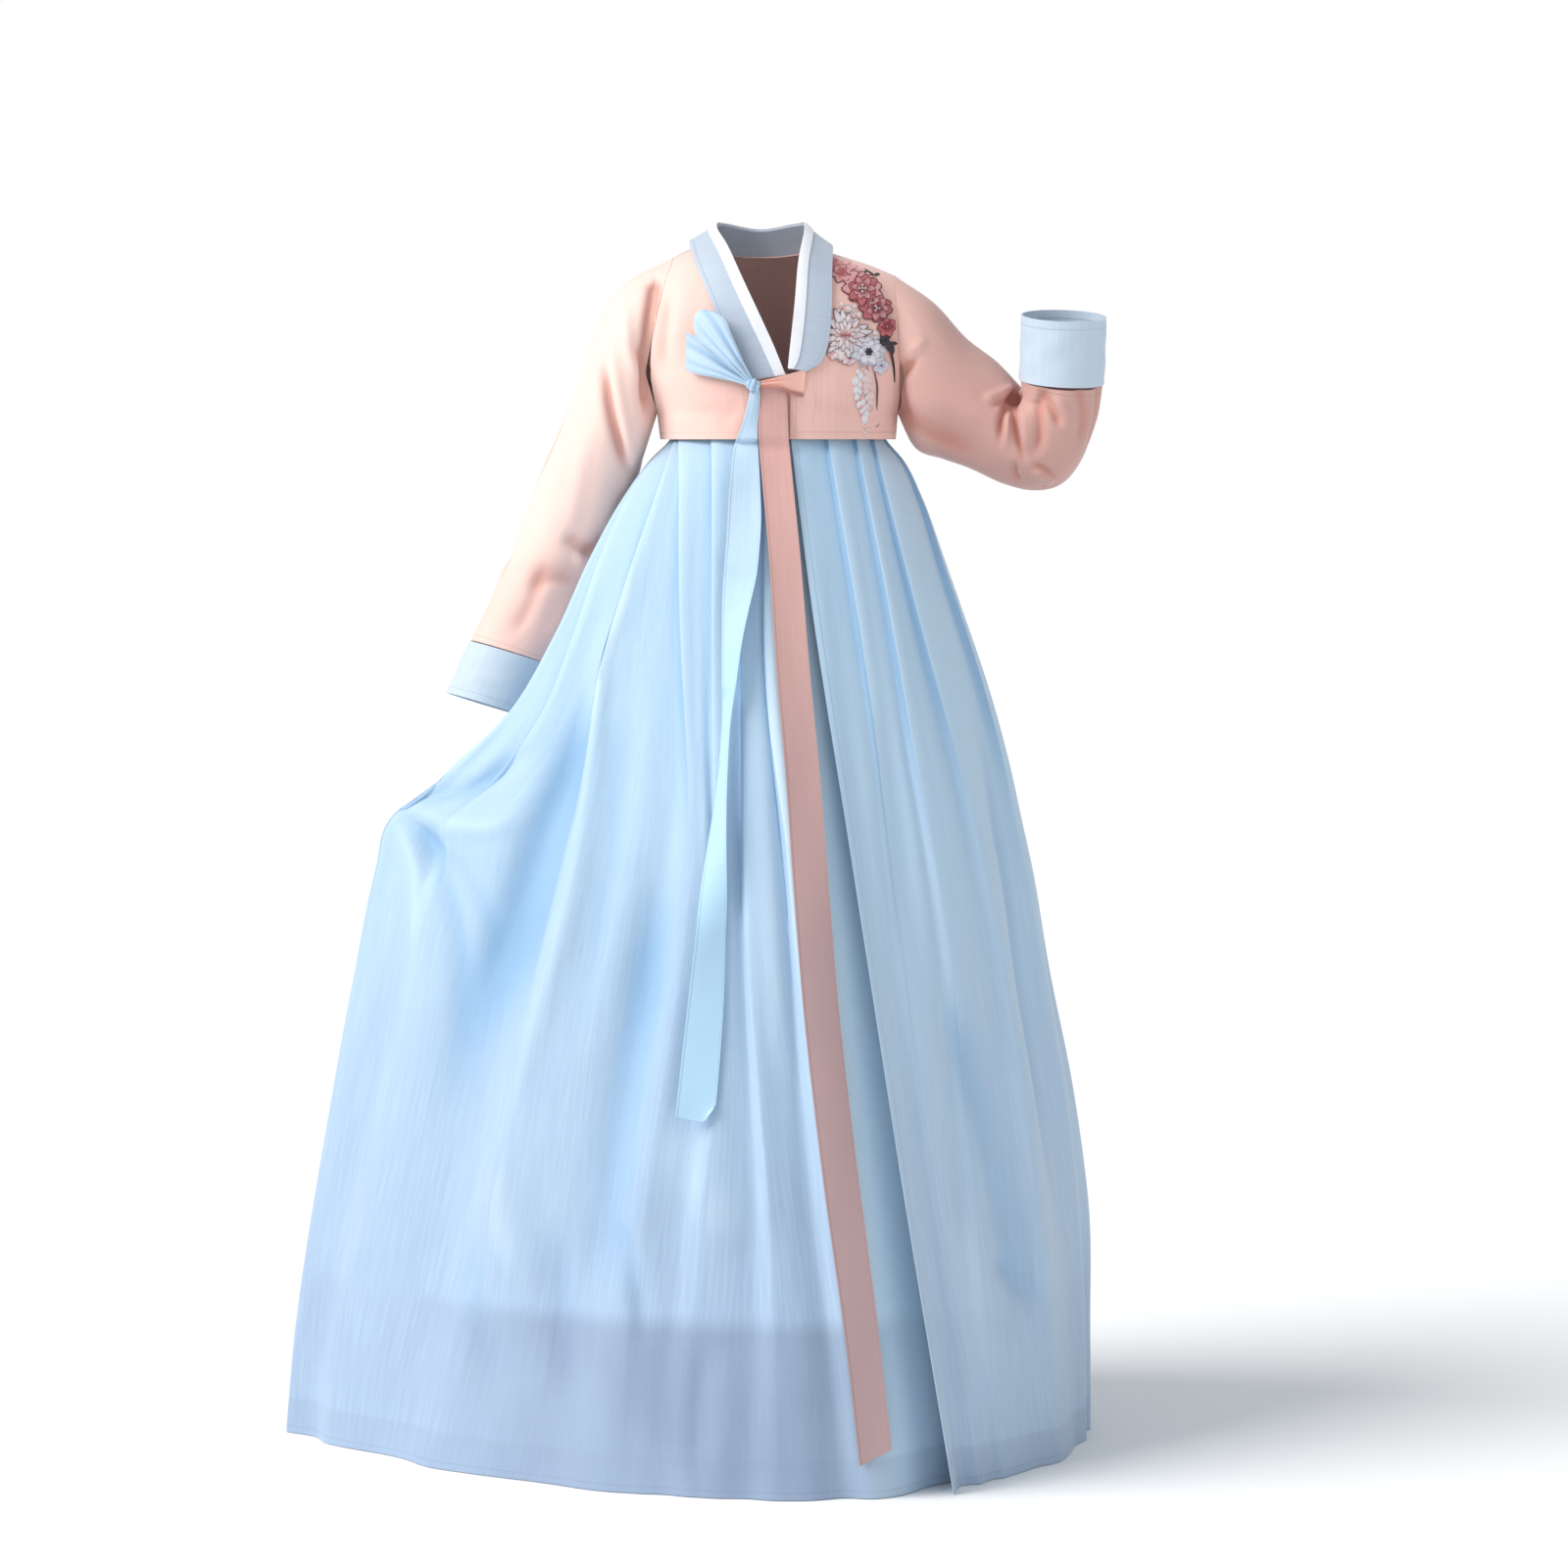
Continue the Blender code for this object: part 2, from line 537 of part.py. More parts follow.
def skirt():
    """The skirt's widths of cloth, in one wrap that starts and ends at the front."""
    for name, first, last in SKIRT_WIDTHS:
        numbers = skirt_columns(first, last)
        grid = np.array([skirt_ring(numbers, height) for height in ROW_HEIGHTS])
        for end, edge, sign in ((0, first, 1), (-1, last, -1)):
            if edge not in (SKIRT_WIDTHS[0][1], SKIRT_WIDTHS[-1][2]):
                inward = grid[:, end + sign] - grid[:, end]
                grid[:, end] += inward / np.linalg.norm(inward, axis=1)[:, None] * SEAM_GAP / 2
        cloth(name, grid, SKIRT_WALL, sky)


def waistband():
    """The band that the pleats hang from, under the jacket."""
    angles = np.linspace(0, 2 * math.pi, 32, endpoint=False)
    plan = skirt_plan(SKIRT_ROWS[0][0], angles)
    rings = []
    for height in (WAISTBAND_TOP, SKIRT_TOP + 2 * SEAM_GAP):
        rings.append(np.column_stack([plan, np.full(len(angles), height)]))
    cloth("waistband", np.array(rings), TRIM_WALL, sky, closed=True)


# --- the ties ---------------------------------------------------------------------------------------


def skirt_front_y(x, height):
    """The foremost y of the skirt's cloth at a place in front, or the jacket's above its hem."""
    if height > JACKET_HEM:
        return front_y(x, height)
    numbers = np.linspace(0, len(PLEAT_ROWS) - 1, 400)
    ring = skirt_ring(numbers, height)
    ahead = ring[:, 1] < -0.02
    near = ahead & (np.abs(ring[:, 0] - x) < 0.010)
    return float(ring[near, 1].min())


def tie_points(rows, count):
    """A tie's two edges, in front of the cloth behind it."""
    edges = []
    for x, height, width, turn, lift in through(rows, count):
        half = np.array((math.cos(math.radians(turn)), math.sin(math.radians(turn)), 0.0)) * width / 2
        behind = min(skirt_front_y(x + k * half[0], height) for k in (-1, 0, 1))
        centre = np.array((x, behind - abs(half[1]) - RIBBON_LIFT - lift, height))
        edges.append((centre - half, centre + half))
    return np.array(edges)


def ribbon(name, path, across, widths, colour):
    """A flat ribbon along a path, with one width direction and a width for each point."""
    edges = [(point - across * w / 2, point + across * w / 2) for point, w in zip(np.array(path), widths)]
    cloth(name, np.array(edges), RIBBON_WALL, colour)


def ties():
    """The two long ties, the bow's loop, its short end, the stub and the knot."""
    cloth("tie_peach", tie_points(PEACH_TAIL, 26), RIBBON_WALL, peach)
    cloth("tie_blue", tie_points(BLUE_TAIL, 24), RIBBON_WALL, sky)
    knot_x, knot_height = KNOT
    knot_y = front_y(knot_x, knot_height) - COLLAR_LIFT - TRIM_LIFT - KNOT_SIZE[1] / 2 - 0.004
    for name, length, angle, gap, lift in (
        ("bow_loop", LOOP_LENGTH, LOOP_ANGLE, LOOP_GAP, 0.010),
        ("bow_short_end", SHORT_END_LENGTH, SHORT_END_ANGLE, 0.0, 0.0),
    ):
        ahead = np.array((math.cos(math.radians(angle)), 0.0, math.sin(math.radians(angle))))
        across = np.array((-ahead[2], 0.0, ahead[0]))
        straight = np.linspace(LOOP_START, length - gap / 2, 7)
        sides = [(distance, gap / 2 + lift) for distance in straight]
        if gap:
            turns = np.linspace(0, math.pi, 7)[1:-1]
            sides += [(length - gap / 2 * (1 - math.sin(t)), math.cos(t) * gap / 2 + lift) for t in turns]
            sides += [(distance, lift - gap / 2) for distance in straight[::-1]]
        points, widths = [], []
        for distance, stand in sides:
            width = LOOP_WIDTH * (0.45 + 0.55 * float(smooth(distance / length)))
            place = np.array((knot_x, 0.0, knot_height)) + ahead * distance
            body = min(front_y(*(place + across * k)[[0, 2]]) for k in (-width / 2, 0.0, width / 2))
            points.append((place[0], body - BOW_LIFT - stand, place[2]))
            widths.append(width)
        ribbon(name, points, across, widths, sky)
    path = [(x, front_y(x, height) - BOW_LIFT / 2, height) for x, height in STUB]
    ribbon("tie_stub", path, np.array((0.15, 0.0, 1.0)), [STUB_WIDTH] * len(path), peach)
    bpy.ops.mesh.primitive_cube_add(size=1.0)
    knot = bpy.context.object
    knot.name = "knot"
    knot.data.transform(Matrix.Diagonal((*KNOT_SIZE, 1.0)))
    knot.location = (knot_x, knot_y, knot_height - SHOULDER_HEIGHT)
    rounding = knot.modifiers.new("rounding", "BEVEL")
    rounding.width = 0.004
    rounding.segments = 2
    knot.data.materials.append(sky)
    for collection in list(knot.users_collection):
        collection.objects.unlink(knot)
    garment.objects.link(knot)


for leftover in list(bpy.data.objects):
    bpy.data.objects.remove(leftover)
garment = bpy.data.collections.new("hanbok")
bpy.context.scene.collection.children.link(garment)
peach = material("peach_cloth", PEACH)
sky = material("sky_blue_cloth", SKY)
pale_blue = material("pale_blue_cloth", PALE_BLUE)
white = material("white_cloth", WHITE)
jacket_panels()
sleeves()
collar()
skirt()
waistband()
ties()
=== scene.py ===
"""The looks of a worn women's hanbok: a short peach jacket over a full, pale blue wrap skirt.

Metres, +Z up, the front towards -Y and the wearer's left towards +X. The origin lies between the
wearer's shoulders. Heights in the tables are above the skirt's hem, and a finished mesh is moved down
by SHOULDER_HEIGHT. Each cloth piece is a thin shell laid on the same sections as its solid, with its
own folds and creases, and a woven finish that follows the cloth.
"""

import sys
import logging
import math
from collections.abc import Callable
from dataclasses import dataclass, field
from enum import Enum

import bpy
import numpy as np
from bpy.types import Material, Node, NodeSocket as Socket, Object as Piece
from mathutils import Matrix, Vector


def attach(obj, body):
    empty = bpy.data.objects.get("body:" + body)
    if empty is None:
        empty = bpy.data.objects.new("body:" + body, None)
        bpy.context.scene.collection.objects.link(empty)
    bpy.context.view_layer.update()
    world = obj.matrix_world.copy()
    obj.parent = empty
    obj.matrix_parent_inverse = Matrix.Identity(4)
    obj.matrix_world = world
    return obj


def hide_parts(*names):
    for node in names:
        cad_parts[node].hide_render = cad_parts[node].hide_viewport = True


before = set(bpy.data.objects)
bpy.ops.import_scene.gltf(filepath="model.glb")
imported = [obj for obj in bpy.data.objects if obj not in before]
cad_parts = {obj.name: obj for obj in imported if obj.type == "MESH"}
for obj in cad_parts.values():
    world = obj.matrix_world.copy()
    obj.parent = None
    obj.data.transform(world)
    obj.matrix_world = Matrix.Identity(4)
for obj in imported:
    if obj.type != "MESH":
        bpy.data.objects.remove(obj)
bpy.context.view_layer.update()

log = logging.getLogger("hanbok")

Colour = tuple[float, float, float]
Rows = tuple[tuple[float, ...], ...]
Place = tuple[float, float]
Numbers = np.ndarray | float

SHOULDER_HEIGHT = 1.330
BODY = "root"
FRONT, BACK = -1, 1
RIGHT, LEFT = -1, 1
BLACK: Colour = (0.0, 0.0, 0.0)
CLOTH_EDGE, STITCH_EDGE, KNOT_EDGE = 55, 60, 80  # degrees past which an edge shows as one


# --- curves -----------------------------------------------------------------------------------------


def smooth(share: Numbers) -> np.ndarray:
    """Ease from 0 to 1 with no slope at either end.

    Args:
        share: Any numbers; those outside 0 to 1 are held at the ends.

    Returns:
        The eased numbers.
    """
    t = np.clip(share, 0.0, 1.0)
    return t * t * (3 - 2 * t)


def along(rows: Rows, at: Numbers, column: int) -> np.ndarray:
    """Read one column of a table on a smooth curve through its rows, without overshoot.

    Args:
        rows: The table; its first column is what `at` is measured in.
        at: Where to read.
        column: The column to read.

    Returns:
        The values there.
    """
    table = np.array(rows, float)
    table = table[np.argsort(table[:, 0])]
    xs, ys = table[:, 0], table[:, column]
    slopes = np.gradient(ys, xs)
    rises = np.diff(ys)
    slopes[1:-1] = np.where(rises[:-1] * rises[1:] <= 0, 0.0, slopes[1:-1])
    at = np.clip(at, xs[0], xs[-1])
    i = np.clip(np.searchsorted(xs, at) - 1, 0, len(xs) - 2)
    step = xs[i + 1] - xs[i]
    t = (at - xs[i]) / step
    return (
        ys[i] * (1 + 2 * t) * (1 - t) ** 2
        + slopes[i] * step * t * (1 - t) ** 2
        + ys[i + 1] * t * t * (3 - 2 * t)
        - slopes[i + 1] * step * t * t * (1 - t)
    )


def through(points: Rows | np.ndarray, count: int) -> np.ndarray:
    """Lay evenly numbered points on a smooth curve through the given ones.

    Args:
        points: Rows of numbers, one row for each given point.
        count: How many points to lay.

    Returns:
        The points, one row each.
    """
    points = np.array(points, float)
    numbered = np.column_stack([np.arange(len(points)), points])
    at = np.linspace(0, len(points) - 1, count)
    return np.column_stack([along(numbered, at, k + 1) for k in range(points.shape[1])])


def heading(degrees: float) -> np.ndarray:
    """Find the flat direction at an angle: its cosine and its sine."""
    return np.array((math.cos(math.radians(degrees)), math.sin(math.radians(degrees))))


# --- shader maths -----------------------------------------------------------------------------------


class Value:
    """A number in a material, with arithmetic."""

    def __init__(self, paint: "Paint", socket: Socket) -> None:
        """Wrap an output socket of the material's node tree."""
        self.paint, self.socket = paint, socket

    def __add__(self, other: "Value | float") -> "Value":
        """Add."""
        return self.paint.maths("ADD", self, other)

    __radd__ = __add__

    def __sub__(self, other: "Value | float") -> "Value":
        """Take away."""
        return self.paint.maths("SUBTRACT", self, other)

    def __rsub__(self, other: "Value | float") -> "Value":
        """Take this away from the other."""
        return self.paint.maths("SUBTRACT", other, self)

    def __mul__(self, other: "Value | float") -> "Value":
        """Multiply."""
        return self.paint.maths("MULTIPLY", self, other)

    __rmul__ = __mul__


class Paint:
    """A material being mixed, node by node."""

    def __init__(self, name: str) -> None:
        """Start a material with one Principled shader."""
        self.material = bpy.data.materials.new(name)
        self.material.use_nodes = True
        self.tree = self.material.node_tree
        self.shader = self.tree.nodes["Principled BSDF"]

    def node(self, kind: str, settings: dict | None = None, values: dict | None = None) -> Node:
        """Add a node.

        Args:
            kind: The node's type.
            settings: Its own settings, set first.
            values: Numbers, colours or links for its inputs, by name or position.

        Returns:
            The node.
        """
        made = self.tree.nodes.new(kind)
        for name, setting in (settings or {}).items():
            setattr(made, name, setting)
        for key, value in (values or {}).items():
            self.feed(made.inputs[key], value)
        return made

    def feed(self, socket: Socket, value: object) -> None:
        """Link or set one input."""
        source = value.socket if isinstance(value, Value) else value
        if isinstance(source, Socket):
            self.tree.links.new(source, socket)
        elif isinstance(source, tuple) and len(source) == 3 and socket.type == "RGBA":
            socket.default_value = (*source, 1.0)
        else:
            socket.default_value = source

    def maths(self, operation: str, *values: "Value | float") -> Value:
        """Add a Math node on some numbers."""
        made = self.node("ShaderNodeMath", {"operation": operation}, dict(enumerate(values)))
        return Value(self, made.outputs[0])

    def ramp(self, value: Value, low: float, high: float) -> Value:
        """Ease from 0 at low to 1 at high."""
        made = self.node(
            "ShaderNodeMapRange",
            {"interpolation_type": "SMOOTHSTEP"},
            {"Value": value, "From Min": low, "From Max": high},
        )
        return Value(self, made.outputs[0])

    def cloth_place(self) -> Socket:
        """Read the place on the flat cloth, in metres."""
        return self.node("ShaderNodeUVMap").outputs[0]

    def place(self) -> Socket:
        """Read the place in space, in metres."""
        return self.node("ShaderNodeTexCoord").outputs["Object"]

    def parts(self, vector: Socket) -> tuple[Value, Value, Value]:
        """Split a vector into its three numbers."""
        made = self.node("ShaderNodeSeparateXYZ", values={0: vector})
        return tuple(Value(self, out) for out in made.outputs)

    def scaled(self, vector: Socket, by: Colour) -> Socket:
        """Stretch a vector along its axes."""
        return self.node("ShaderNodeVectorMath", {"operation": "MULTIPLY"}, {0: vector, 1: by}).outputs[0]

    def noise(self, vector: Socket, by: Colour, detail: float = 2.0) -> Value:
        """Read soft noise, about 0 to 1, on a stretched vector."""
        values = {"Vector": self.scaled(vector, by), "Scale": 1.0, "Detail": detail}
        return Value(self, self.node("ShaderNodeTexNoise", values=values).outputs[0])

    def mixed(self, factor: "Value | float", first: object, second: object) -> Socket:
        """Mix two colours."""
        return self.node("ShaderNodeMix", {"data_type": "RGBA"}, {0: factor, 6: first, 7: second}).outputs[2]

    def bump(self, height: Value, distance: float, under: Socket | None = None) -> Socket:
        """Raise the surface by a height, times a distance in metres."""
        values = {"Height": height, "Distance": distance}
        if under is not None:
            values["Normal"] = under
        return self.node("ShaderNodeBump", values=values).outputs[0]

    def mark(self, name: str) -> Value:
        """Read a number that the mesh carries."""
        return Value(self, self.node("ShaderNodeAttribute", {"attribute_name": name}).outputs["Fac"])


# --- finishes ---------------------------------------------------------------------------------------


@dataclass(frozen=True)
class ClothFinish:
    """A plain woven cloth: fine threads, thicker threads here and there, a soft crinkle and a sheen."""

    name: str
    colour: Colour
    thin: Colour  # the colour of its thinner streaks
    slub: float = 0.5
    crinkle: float = 0.00035
    roughness: float = 0.6
    sheen: float = 0.25
    sheen_tint: Colour = (1.0, 1.0, 1.0)
    sheen_roughness: float = 0.45
    thread: float = 0.0009
    edge_depth: float = 0.00025
    stitch_shade: float = 0.15
    hem_depth: Place = (0.0075, 0.0085)  # how far in from an edge its turned hem ends
    # painted shade: the colour mixed in down in the folds
    fold_shade_colour: Colour | None = None  # the colour down in its folds

    def folded(self, paint: Paint, colour: object) -> Socket:
        """Mix painted shade into a colour down in the folds."""
        if self.fold_shade_colour is None:
            return colour
        # painted shade where the cloth lies in a crease's hollow
        return paint.mixed(paint.ramp(paint.mark("fold_shading"), 0.0, -1.0) * 0.7, colour, self.fold_shade_colour)

    def tone(self, paint: Paint, streak: Value) -> Socket:
        """Mix the cloth's colour.

        Args:
            paint: The material.
            streak: How much of the thin colour shows.

        Returns:
            The colour.
        """
        return self.folded(paint, paint.mixed(streak * self.slub, self.colour, self.thin))

    def material(self) -> Material:
        """Mix the whole material."""
        paint = Paint(self.name)
        flat, place = paint.cloth_place(), paint.place()
        streak = paint.ramp(paint.noise(flat, (420.0, 11.0, 1.0), 3.0), 0.35, 0.75)
        cloud = paint.noise(place, (7.0, 7.0, 5.0))
        colour = self.tone(paint, streak)
        colour = paint.mixed(paint.ramp(cloud, 0.3, 0.75) * 0.16, colour, self.thin)
        edge = paint.mark("edge")
        near, far = self.hem_depth
        past_hem = paint.ramp(edge, near, far)
        stitch = paint.ramp(edge, far, far - 0.0007) * paint.ramp(edge, near - 0.0007, near)
        colour = paint.mixed(stitch * self.stitch_shade, colour, BLACK)
        across, down, _ = paint.parts(flat)
        turn = 2 * math.pi / self.thread
        weave = paint.maths("SINE", across * turn) * paint.maths("SINE", down * turn)
        soft = paint.noise(flat, (38.0, 15.0, 1.0), 3.0)
        fine = paint.noise(flat, (260.0, 120.0, 1.0), 2.0)
        bump = paint.bump(weave, 0.00001)
        bump = paint.bump(fine, self.crinkle * 0.18, bump)
        bump = paint.bump(soft, self.crinkle * 2.2, bump)
        bump = paint.bump(1 - past_hem, self.edge_depth, bump)
        shader = paint.shader.inputs
        paint.feed(shader["Base Color"], colour)
        paint.feed(shader["Roughness"], self.roughness + (fine - 0.5) * 0.12)
        paint.feed(shader["Normal"], bump)
        shader["Sheen Weight"].default_value = self.sheen
        shader["Sheen Roughness"].default_value = self.sheen_roughness
        shader["Sheen Tint"].default_value = (*self.sheen_tint, 1.0)
        shader["Specular IOR Level"].default_value = 0.35
        return paint.material


@dataclass(frozen=True)
class JacketFinish(ClothFinish):
    """The jacket's sheer cloth: painted light towards the wearer's right, painted shade towards the wearer's
    left.
    """

    # painted light: the colour of the side towards the key light; painted shade: the colour of the far side
    painted_lit_side: Colour = (0.925, 0.680, 0.605)
    painted_shaded_side: Colour = (0.540, 0.300, 0.262)

    def tone(self, paint: Paint, streak: Value) -> Socket:
        """Mix the colour across the jacket, with its painted light and shade; the arguments are those of a
        plain cloth.
        """
        x, _, z = paint.parts(paint.place())
        colour = paint.mixed(streak * self.slub, self.colour, self.thin)
        # painted light towards the wearer's right, weaker low down
        lit_side_share = paint.ramp(x, -0.030, -0.165) * (0.9 - paint.ramp(z, -0.270, -0.400) * 0.5)
        colour = paint.mixed(lit_side_share, colour, self.painted_lit_side)
        # painted shade towards the wearer's left, then painted shade in the folds
        return self.folded(paint, paint.mixed(paint.ramp(x, 0.118, 0.190) * 0.9, colour, self.painted_shaded_side))


@dataclass(frozen=True)
class SkirtFinish(ClothFinish):
    """The skirt's sheer cloth over a lining: painted shade in its folds, painted highlight and light, and
    greyer where the lining ends.
    """

    low: Colour = (0.325, 0.430, 0.590)
    # painted shade: the colour down in the folds and under the pleats' edges
    fold_shade_colour: Colour = (0.195, 0.375, 0.600)
    # painted highlight on ridges, and painted light on the over front and on the under front past its edge
    pale: Colour = (0.640, 0.780, 0.880)
    # the darker band where the lining ends, with painted shade across its middle
    unlined: Colour = (0.225, 0.290, 0.415)
    # painted light: the under front brightened where the over front's shadow falls on it
    under: Colour = (0.385, 0.680, 0.960)
    lining_ends: float = 0.185
    hem_fold: float = 0.040

    def tone(self, paint: Paint, streak: Value) -> Socket:
        """Mix the colour down the skirt's length; the arguments are those of a plain cloth."""
        x, _, z = paint.parts(paint.place())
        wander = paint.noise(paint.place(), (2.2, 2.2, 0.6), 1.0)
        height = z + SHOULDER_HEIGHT + (wander - 0.5) * 0.012
        colour = paint.mixed(paint.ramp(height, 0.95, 0.10), self.colour, self.low)
        colour = paint.mixed(streak * self.slub, colour, self.thin)
        # painted light on the over front, the side away from the key light
        colour = paint.mixed(paint.ramp(x, 0.020, 0.110) * 0.25, colour, self.pale)
        # painted light where the over front's shadow falls on the under front
        colour = paint.mixed(paint.mark("under") * 0.85, colour, self.under)
        fold_shading = paint.mark("fold_shading")
        # painted shade in the folds, weaker low down
        shaded = paint.ramp(fold_shading, 0.0, -1.0) * (0.80 - paint.ramp(height, 0.60, 0.20) * 0.40)
        colour = paint.mixed(shaded, colour, self.fold_shade_colour)
        # painted highlight on the ridges, and painted light past the over front's edge
        colour = paint.mixed(paint.ramp(fold_shading, 0.0, 1.0) * 0.70, colour, self.pale)
        # where the lining ends the sheer cloth shows darker; the band is painted much darker across the
        # middle than at the sides, as painted shade
        bare = paint.ramp(height, self.lining_ends + 0.012, self.lining_ends - 0.016)
        middle = paint.ramp(x, -0.46, -0.20) * paint.ramp(x, 0.17, 0.02)
        colour = paint.mixed(bare * (0.09 + middle * 0.66), colour, self.unlined)
        turned = paint.ramp(height, self.hem_fold + 0.003, self.hem_fold - 0.003)
        return paint.mixed(turned * 0.25, colour, self.unlined)


@dataclass(frozen=True)
class TieFinish(ClothFinish):
    """A long tie's cloth, whose colour changes on the way down."""

    low: Colour = (0.360, 0.245, 0.250)
    changes: tuple[float, float] = (-0.15, -0.85)  # between these heights from the shoulders

    def tone(self, paint: Paint, streak: Value) -> Socket:
        """Mix the colour down the tie; the arguments are those of a plain cloth."""
        _, _, z = paint.parts(paint.place())
        colour = paint.mixed(streak * self.slub, self.colour, self.thin)
        return self.folded(paint, paint.mixed(paint.ramp(z, *self.changes), colour, self.low))


@dataclass(frozen=True)
class ThreadFinish:
    """Silk thread laid in close stitches, in the colour that each stitched piece carries."""

    name: str
    stitch: float = 0.0011
    roughness: float = 0.42

    def material(self) -> Material:
        """Mix the whole material."""
        paint = Paint(self.name)
        flat = paint.cloth_place()
        across, _, _ = paint.parts(flat)
        tint = paint.node("ShaderNodeAttribute", {"attribute_name": "tint"}).outputs["Color"]
        lay = paint.maths("SINE", across * (2 * math.pi / self.stitch))
        uneven = paint.noise(flat, (700.0, 90.0, 1.0), 2.0)
        colour = paint.mixed((0.5 - lay * 0.5) * 0.12, tint, (0.05, 0.02, 0.03))
        colour = paint.mixed(uneven * 0.05, colour, (0.95, 0.90, 0.92))
        bump = paint.bump(lay, 0.00016)
        bump = paint.bump(uneven, 0.00025, bump)
        shader = paint.shader.inputs
        paint.feed(shader["Base Color"], colour)
        paint.feed(shader["Roughness"], self.roughness + uneven * 0.15)
        paint.feed(shader["Normal"], bump)
        shader["Sheen Weight"].default_value = 0.05
        shader["Specular IOR Level"].default_value = 0.4
        return paint.material


# PEACH's darkest colour is painted shade in the folds
PEACH = JacketFinish(
    "peach_organza", (0.800, 0.485, 0.420), (0.850, 0.575, 0.515), slub=0.4, fold_shade_colour=(0.520, 0.205, 0.155)
)
PEACH_RIBBON = TieFinish(
    "peach_ribbon", (0.600, 0.335, 0.305), (0.660, 0.400, 0.360), crinkle=0.0002, roughness=0.55
)
# the stub's darkest colour is painted shadow along its lower edge
STUB = ClothFinish(
    "peach_stub", (0.940, 0.510, 0.420), (0.950, 0.590, 0.510), crinkle=0.0002, fold_shade_colour=(0.300, 0.070, 0.050)
)
ICE_BLUE = ClothFinish("ice_blue_satin", (0.445, 0.510, 0.605), (0.520, 0.590, 0.685), crinkle=0.0002)
CUFF_BLUE = ClothFinish("pale_blue_cuff", (0.500, 0.595, 0.690), (0.580, 0.675, 0.765), crinkle=0.0002)
WHITE = ClothFinish("white_strip", (0.800, 0.805, 0.850), (0.860, 0.860, 0.890), crinkle=0.0001)
# the blue's darkest colour is painted shade in the bow's pleats and the knot's wraps
BLUE_RIBBON = TieFinish(
    "blue_ribbon", (0.455, 0.610, 0.765), (0.580, 0.710, 0.835), crinkle=0.0003, fold_shade_colour=(0.185, 0.370, 0.610),
    low=(0.425, 0.650, 0.840), changes=(-0.25, -0.50)
)
SKIRT = SkirtFinish(
    "sky_blue_organza", (0.405, 0.575, 0.745), (0.490, 0.655, 0.800), slub=0.3, crinkle=0.0005, sheen=0.3
)
THREAD = ThreadFinish("silk_thread")


# --- cloth ------------------------------------------------------------------------------------------


class View(Enum):
    """Which side a crease is drawn from: the two axes of that view, and the way to the viewer."""

    FRONT = (0, 2, (0.0, -1.0, 0.0))
    BACK = (0, 2, (0.0, 1.0, 0.0))
    RIGHT = (1, 2, (-1.0, 0.0, 0.0))
    LEFT = (1, 2, (1.0, 0.0, 0.0))


@dataclass(frozen=True)
class Crease:
    """A soft trough or ridge along a line, as it is seen from one side."""

    line: tuple[Place, ...]  # (sideways, height) in that view
    width: float
    depth: float  # below 0 for a trough
    view: View = View.FRONT
    lean: float = 1.0  # how wide its left-hand side is, against its right
    from_edge: bool = False  # at full depth where it starts

    def push(self, points: np.ndarray, normals: np.ndarray) -> np.ndarray:
        """Work out how far the crease moves each point along its normal.

        Args:
            points: The cloth's points.
            normals: Their outward directions.

        Returns:
            The distances.
        """
        first, second, toward = self.view.value
        flat = points[..., (first, second)]
        count = 6 * (len(self.line) - 1)
        line = through(self.line, count + 1)
        nearest = np.full(flat.shape[:2], np.inf)
        way, width = np.zeros_like(nearest), np.zeros_like(nearest)
        for k in range(count):
            start, step = line[k], line[k + 1] - line[k]
            t = np.clip(((flat - start) @ step) / (step @ step), 0, 1)
            off = flat - start - t[..., None] * step
            distance = np.linalg.norm(off, axis=-1)
            nearer = distance < nearest
            turned = step[0] * off[..., 1] - step[1] * off[..., 0]
            nearest = np.where(nearer, distance, nearest)
            way = np.where(nearer, (k + t) / count, way)
            width = np.where(nearer, np.where(turned > 0, self.width * self.lean, self.width), width)
        ends = smooth((1 - way) / 0.35) * (1.0 if self.from_edge else smooth(way / 0.35))
        facing = smooth((normals @ np.array(toward)) / 0.4)
        return self.depth * np.exp(-((nearest / width) ** 2)) * ends * facing


